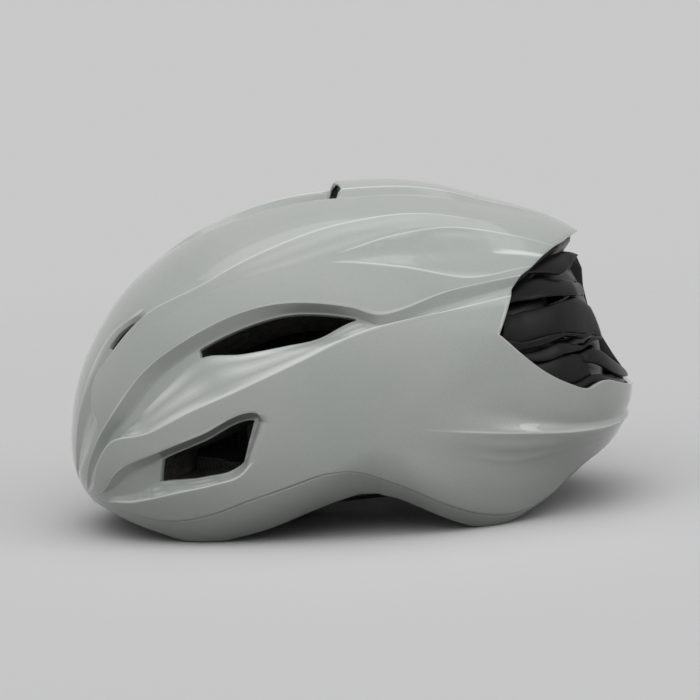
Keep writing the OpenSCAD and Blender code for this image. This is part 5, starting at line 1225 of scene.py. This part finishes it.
# Dividers: a moulded frame below each ear that the three straps run into, with a cam lever pinned
# between its two lugs that locks them. Both are black nylon, ribbed for the finger.
for side in ("left", "right"):
    grips = [strap_ribs(side, (-33, 44, 0.55), (0, 1.7, 0), 6, (9, 0, 0), 0.4)]
    grips += [strap_ribs(side, (x, 41.6, 3.95), (0.9, 0, 0), 3, (0, 0.8, 0), 0.25) for x in (-44.6, -23.2)]
    fitted(moulded("divider_" + side, 0.6, grips), nylon, "divider_" + side)
    grips = [strap_ribs(side, (-33, 42.9, 7.05), (0, 1.3, 0), 4, (6.6, 0, 0), 0.38)]
    fitted(moulded("cam_lever_" + side, 0.35, grips), nylon, "cam_lever_" + side)

# Keeper: a slim loop moulded in black nylon. It slides on the chin strap, where it would hold the
# strap's spare end.
fitted(moulded("strap_keeper", 0.4), nylon, "strap_keeper")

# Side-release buckle: smooth moulded acetal. The socket takes the plug, whose two prongs spring out
# into the socket's side windows and are pressed in by thumb and finger to let go.
acetal, tree, shader, place = finish_of("smooth acetal", (0.03, 0.03, 0.033), 0.32, Specular_IOR_Level=0.5)
cloud = add(tree, "ShaderNodeTexNoise", {"Vector": place, "Scale": 120.0, "Detail": 4.0})
polished(tree, shader, cloud.outputs["Fac"], 0.26, 0.38)
coloured(tree, shader, cloud.outputs["Fac"], (0.026, 0.026, 0.028), (0.036, 0.036, 0.039))
ripple = add(tree, "ShaderNodeTexNoise", {"Vector": place, "Scale": 900.0})
bumped(tree, shader, ripple.outputs["Fac"], 0.00004, 0.4)
grips = [strap_ribs("left", (-83.6, 48.3, n), (1.4, 0, 0), 3, (0, 6.5, 0), 0.4) for n in (6.2, -1.7)]
grips += [strap_ribs("left", (-98.8, s, 2.25), (1.1, 0, 0), 3, (0, 0, 2.6), 0.35) for s in (37.85, 58.75)]
fitted(moulded("buckle_socket", 0.9, grips), acetal, "buckle_socket")
grips = [strap_ribs("right", (-84.6, 48.3, n), (1.4, 0, 0), 4, (0, 6.5, 0), 0.4) for n in (5.2, -0.7)]
fitted(moulded("buckle_plug", 0.7, grips), acetal, "buckle_plug")
for node, s in (("buckle_prong_inner", 57.25), ("buckle_prong_outer", 39.35)):
    grips = [strap_ribs("right", (-96.3, s, 2.25), (0.95, 0, 0), 3, (0, 0, 1.1), 0.25)]
    fitted(moulded(node, 0.35, grips), acetal, node)

# Temple mounts: a nylon post glued to the liner above each cheek vent, and a forked clip that pitches
# on its pin and carries the belt arm on a second, upright pin.
for side in ("left", "right"):
    fitted(moulded("temple_post_" + side, 0.4), nylon, "temple_post_" + side)
    fitted(moulded("temple_clip_" + side, 0.35), nylon, "temple_clip_" + side)

# Belt arms: two thin bands of springy nylon that run round the head from the temples to the dial, with
# a row of long slots through them that lets them bend and saves weight.
arm_x, clip_z, belt_end_z, belt_rear = -42.5, 60, 30.5, 90


def belt_at(angle, off):
    """A place on the belt's middle line, off millimetres further out, and the belt's height there"""
    x = 5 + (belt_rear + off if math.cos(angle) > 0 else 105 + off) * math.cos(angle)
    y = -(cavity_w - 6 + off) * math.sin(angle)
    return np.array([x, y, clip_z - (clip_z - belt_end_z) * (x - arm_x) / (88 - arm_x)])


def slot_cutter(middle, side):
    """A long rounded slot to cut through the belt, bent with it"""
    rows = []
    for t in np.linspace(-1, 1, 15):
        angle = math.radians(middle + 4.6 * t)
        half_h = 1.5 * math.sqrt(max(1 - max(abs(t) - 0.72, 0) ** 2 / 0.28 ** 2, 0.0)) + 0.05
        rows.append([belt_at(angle, off) + [0, 0, z] for off, z in ((-2, -half_h), (2, -half_h), (2, half_h), (-2, half_h))])
    rows = np.array(rows) * [1, -1 if side == "right" else 1, 1]
    cutter = make_piece("cutter", rows.reshape(-1, 3), faces_round(rows, "capped"), smooth=False)
    join(cutter, outwards=True)
    return cutter


for side in ("left", "right"):
    cutters = [slot_cutter(angle, side) for angle in (100, 87, 74, 61, 48, 35)]
    fitted(moulded("belt_arm_" + side, 0.3, (), cutters), nylon, "belt_arm_" + side)
    for cutter in cutters:
        bpy.data.objects.remove(cutter)

# Racks: thin acetal plates on the arms' ends, toothed along one edge of their windows; the pinion runs
# between the two and draws them together.
for side in ("left", "right"):
    fitted(moulded("rack_" + side, 0.12), acetal, "rack_" + side)
fitted(moulded("dial_pinion", 0.12), acetal, "dial_pinion")

# Dial housing: a box for the racks in two mouldings, the body behind and a flat cover before it, with
# ribs on its back that stiffen it.
edge_ribs = [ribs(in_metres((96.95, y, 29 + z)), (0, 0.0016, 0), 3, (0, 0, 0.0038), 0.35)
             for y in (-14, 10.8) for z in (-6, 6)]
fitted(moulded("dial_housing", 0.7, edge_ribs), nylon, "dial_housing")
fitted(moulded("housing_cover", 0.6), nylon, "housing_cover")

# Height stem and ladder: the stem stands on the housing and slides in the ladder that is glued to the
# liner, and friction holds it where it is set. Small ribs mark the ladder's steps.
stem_ribs = [ribs(in_metres((94.75, 0, 41.6)), (0, 0, 0.0013), 3, (0, 0.0045, 0), 0.3)]
fitted(moulded("height_stem", 0.35, stem_ribs), nylon, "height_stem")
ladder_ribs = [ribs(in_metres((92.95, y, 48.4)), (0, 0, 0.0021), 7, (0, 0.0017, 0), 0.35) for y in (-7.75, 7.75)]
fitted(moulded("height_ladder", 0.45, ladder_ribs), nylon, "height_ladder")

# Detent spring: a ring stamped from thin spring steel and seated under the knob, with two round pips
# that click as it turns.
steel, tree, shader, place = finish_of("spring steel", (0.2, 0.2, 0.21), 0.38, Metallic=1.0)
brushed = add(tree, "ShaderNodeMapping", {"Vector": place, "Scale": (40, 900, 3000)})
scratches = add(tree, "ShaderNodeTexNoise", {"Vector": brushed.outputs["Vector"], "Scale": 1.0, "Detail": 3.0})
polished(tree, shader, scratches.outputs["Fac"], 0.2, 0.42)
coloured(tree, shader, scratches.outputs["Fac"], (0.16, 0.16, 0.17), (0.24, 0.24, 0.25))
bumped(tree, shader, scratches.outputs["Fac"], 0.00003, 0.5)
fitted(moulded("detent_spring", 0.12), steel, "detent_spring")

# Dial: a knob turned on the pinion's hub, dished in front, with a ring of soft rubber moulded round it
# that is ribbed for the fingers. A screw through its middle holds it to the cover.
knob_x, knob_t, knob_r, dial_z = 99.4, 6.5, 10.5, 29


def turned(name, profile, steps=96):
    """A ring turned about the dial's axis from a closed profile of x and radius"""
    profile = np.array(profile, float)
    angle = np.linspace(0, math.tau, steps, endpoint=False)[:, None]
    points = np.stack([profile[None, :, 0] + 0 * angle, profile[None, :, 1] * np.cos(angle),
                       dial_z + profile[None, :, 1] * np.sin(angle)], -1)
    piece = make_piece(name, points.reshape(-1, 3), faces_round(points))
    join(piece, outwards=True)
    rounded(piece, 0.3)
    return piece


face = knob_x + knob_t
knob = turned("dial_knob_part", [
    (94.25, 1.46), (94.25, 4), (knob_x, 4), (knob_x, 9.9), (knob_x + 0.6, knob_r), (face - 0.5, knob_r), (face, 10),
    (face, 9.2), (face - 0.7, 8.4), (face - 0.9, 7), (face - 0.9, 5.4), (face - 0.3, 4.6), (face, 4.2), (face, 3.35),
    (face - 2, 3.3), (face - 2, 1.46)])
dish_ribs = ribs(in_metres((face - 0.75, 0, dial_z)), (0, 0, 0), 18, (0.0003, 0, 0), 0.45, rim=6.3)
join(knob, [dish_ribs])
fitted(knob, nylon, "dial_knob")

rubber, tree, shader, place = finish_of("soft rubber", (0.045, 0.045, 0.047), 0.78, Specular_IOR_Level=0.3)
dusty = add(tree, "ShaderNodeTexNoise", {"Vector": place, "Scale": 450.0, "Detail": 5.0})
coloured(tree, shader, dusty.outputs["Fac"], (0.036, 0.036, 0.038), (0.056, 0.056, 0.058), (0.35, 0.65))
bumped(tree, shader, dusty.outputs["Fac"], 0.0001, 0.6)
grip = turned("dial_grip_part", [(knob_x + 0.6, 10.55), (knob_x + 0.6, 10.9), (knob_x + 0.9, 11.2), (face - 0.9, 11.2),
                                 (face - 0.6, 10.9), (face - 0.6, 10.55)])
grip_ribs = ribs(in_metres((knob_x + knob_t / 2, 0, dial_z)), (0, 0, 0), 28, (0.0026, 0, 0), 0.72, rim=11.12)
join(grip, [grip_ribs])
fitted(grip, rubber, "dial_grip")

# Axle screw: a small steel screw through the knob and the pinion into the housing, with a low round
# head and a six-sided socket for its key.
socket_x, socket_r = knob_x + knob_t - 0.3, 1.25
corners = [(socket_r * math.cos(math.radians(60 * k)), dial_z + socket_r * math.sin(math.radians(60 * k)))
           for k in range(6)]
key_rows = np.array([[(x, y, z) for y, z in corners] for x in (socket_x - 0.9, socket_x + 1)])
key = make_piece("key", key_rows.reshape(-1, 3), faces_round(key_rows, "capped"), smooth=False)
fitted(moulded("axle_screw", 0.12, (), [key]), steel, "axle_screw")
bpy.data.objects.remove(key)


# Studio: a plain pale floor that fades into a pale backdrop, one broad soft box overhead and two weaker
# ones at the sides. Only camera, glossy and see-through rays meet the pale backdrop, and the object is
# lit at a plain level.
key_way, key_narrow, key_level, base_level, backdrop = (-0.04, -0.56, 0.83), 3.0, 1.63, 0.02, 0.58


def seen_or_mirrored(tree):
    """The light path's node, and 1 on camera and glossy rays"""
    path = add(tree, "ShaderNodeLightPath")
    return path, worked(tree, "MAXIMUM", path.outputs["Is Camera Ray"], path.outputs["Is Glossy Ray"])


world = bpy.data.worlds.new("studio")
bpy.context.scene.world = world
world.use_nodes = True
tree = world.node_tree
tree.nodes.clear()
path, glossy = seen_or_mirrored(tree)
seen_ray = worked(tree, "MAXIMUM", glossy, path.outputs["Is Transmission Ray"])
toward = add(tree, "ShaderNodeTexCoord")
lean = add(tree, "ShaderNodeVectorMath", {0: toward.outputs["Generated"], 1: key_way}, operation="DOT_PRODUCT")
above = worked(tree, "MAXIMUM", lean.outputs["Value"], 0.0)
narrowed = worked(tree, "POWER", above, key_narrow)
sky = worked(tree, "MULTIPLY_ADD", narrowed, key_level, base_level)
lit = add(tree, "ShaderNodeBackground", {"Color": (1, 1, 1, 1), "Strength": sky})
seen = add(tree, "ShaderNodeBackground", {"Color": (backdrop, backdrop, backdrop, 1), "Strength": 1.0})
mixed = add(tree, "ShaderNodeMixShader", {0: seen_ray, 1: lit.outputs[0], 2: seen.outputs[0]})
add(tree, "ShaderNodeOutputWorld", {"Surface": mixed.outputs[0]})

bpy.ops.mesh.primitive_circle_add(vertices=96, radius=3, fill_type="NGON")
floor = bpy.context.object
floor.name = "floor"
stone = bpy.data.materials.new("pale floor")
stone.use_nodes = True
tree = stone.node_tree
tree.nodes.clear()
path, glossy = seen_or_mirrored(tree)
place = add(tree, "ShaderNodeTexCoord").outputs["Object"]
away = add(tree, "ShaderNodeVectorMath", {0: place}, operation="LENGTH")
fade = add(tree, "ShaderNodeMapRange", {"Value": away.outputs["Value"], "From Min": 0.3, "From Max": 1.3},
           interpolation_type="SMOOTHSTEP")
seen = add(tree, "ShaderNodeBsdfDiffuse", {"Color": (0.85, 0.85, 0.85, 1)})
dim = add(tree, "ShaderNodeBsdfDiffuse", {"Color": (0.1, 0.1, 0.1, 1)})
surface = add(tree, "ShaderNodeMixShader", {0: glossy, 1: dim.outputs[0], 2: seen.outputs[0]})
clear = add(tree, "ShaderNodeBsdfTransparent")
both = add(tree, "ShaderNodeMixShader", {0: fade.outputs["Result"], 1: surface.outputs[0], 2: clear.outputs[0]})
add(tree, "ShaderNodeOutputMaterial", {"Surface": both.outputs[0]})
floor.data.materials.append(stone)


def lamp(name, place, size, power, aim_at=(0, 0, 0.08)):
    """A soft box that looks at the helmet"""
    data = bpy.data.lights.new(name, "AREA")
    data.shape = "RECTANGLE"
    data.size, data.size_y = size
    data.energy = power
    stance = (Vector(place) - Vector(aim_at)).to_track_quat("Z", "Y").to_matrix().to_4x4()
    stance.translation = place
    placed(name, data).matrix_world = stance


lamp("overhead", (-0.1, 0.5, 1.6), (1.8, 0.7), 2.5)
lamp("front", (-1.5, -1.3, 1.0), (0.3, 1.0), 0.8)
lamp("rear", (1.4, -0.8, 0.9), (0.3, 0.8), 2)
bpy.context.scene.view_settings.view_transform = "Standard"
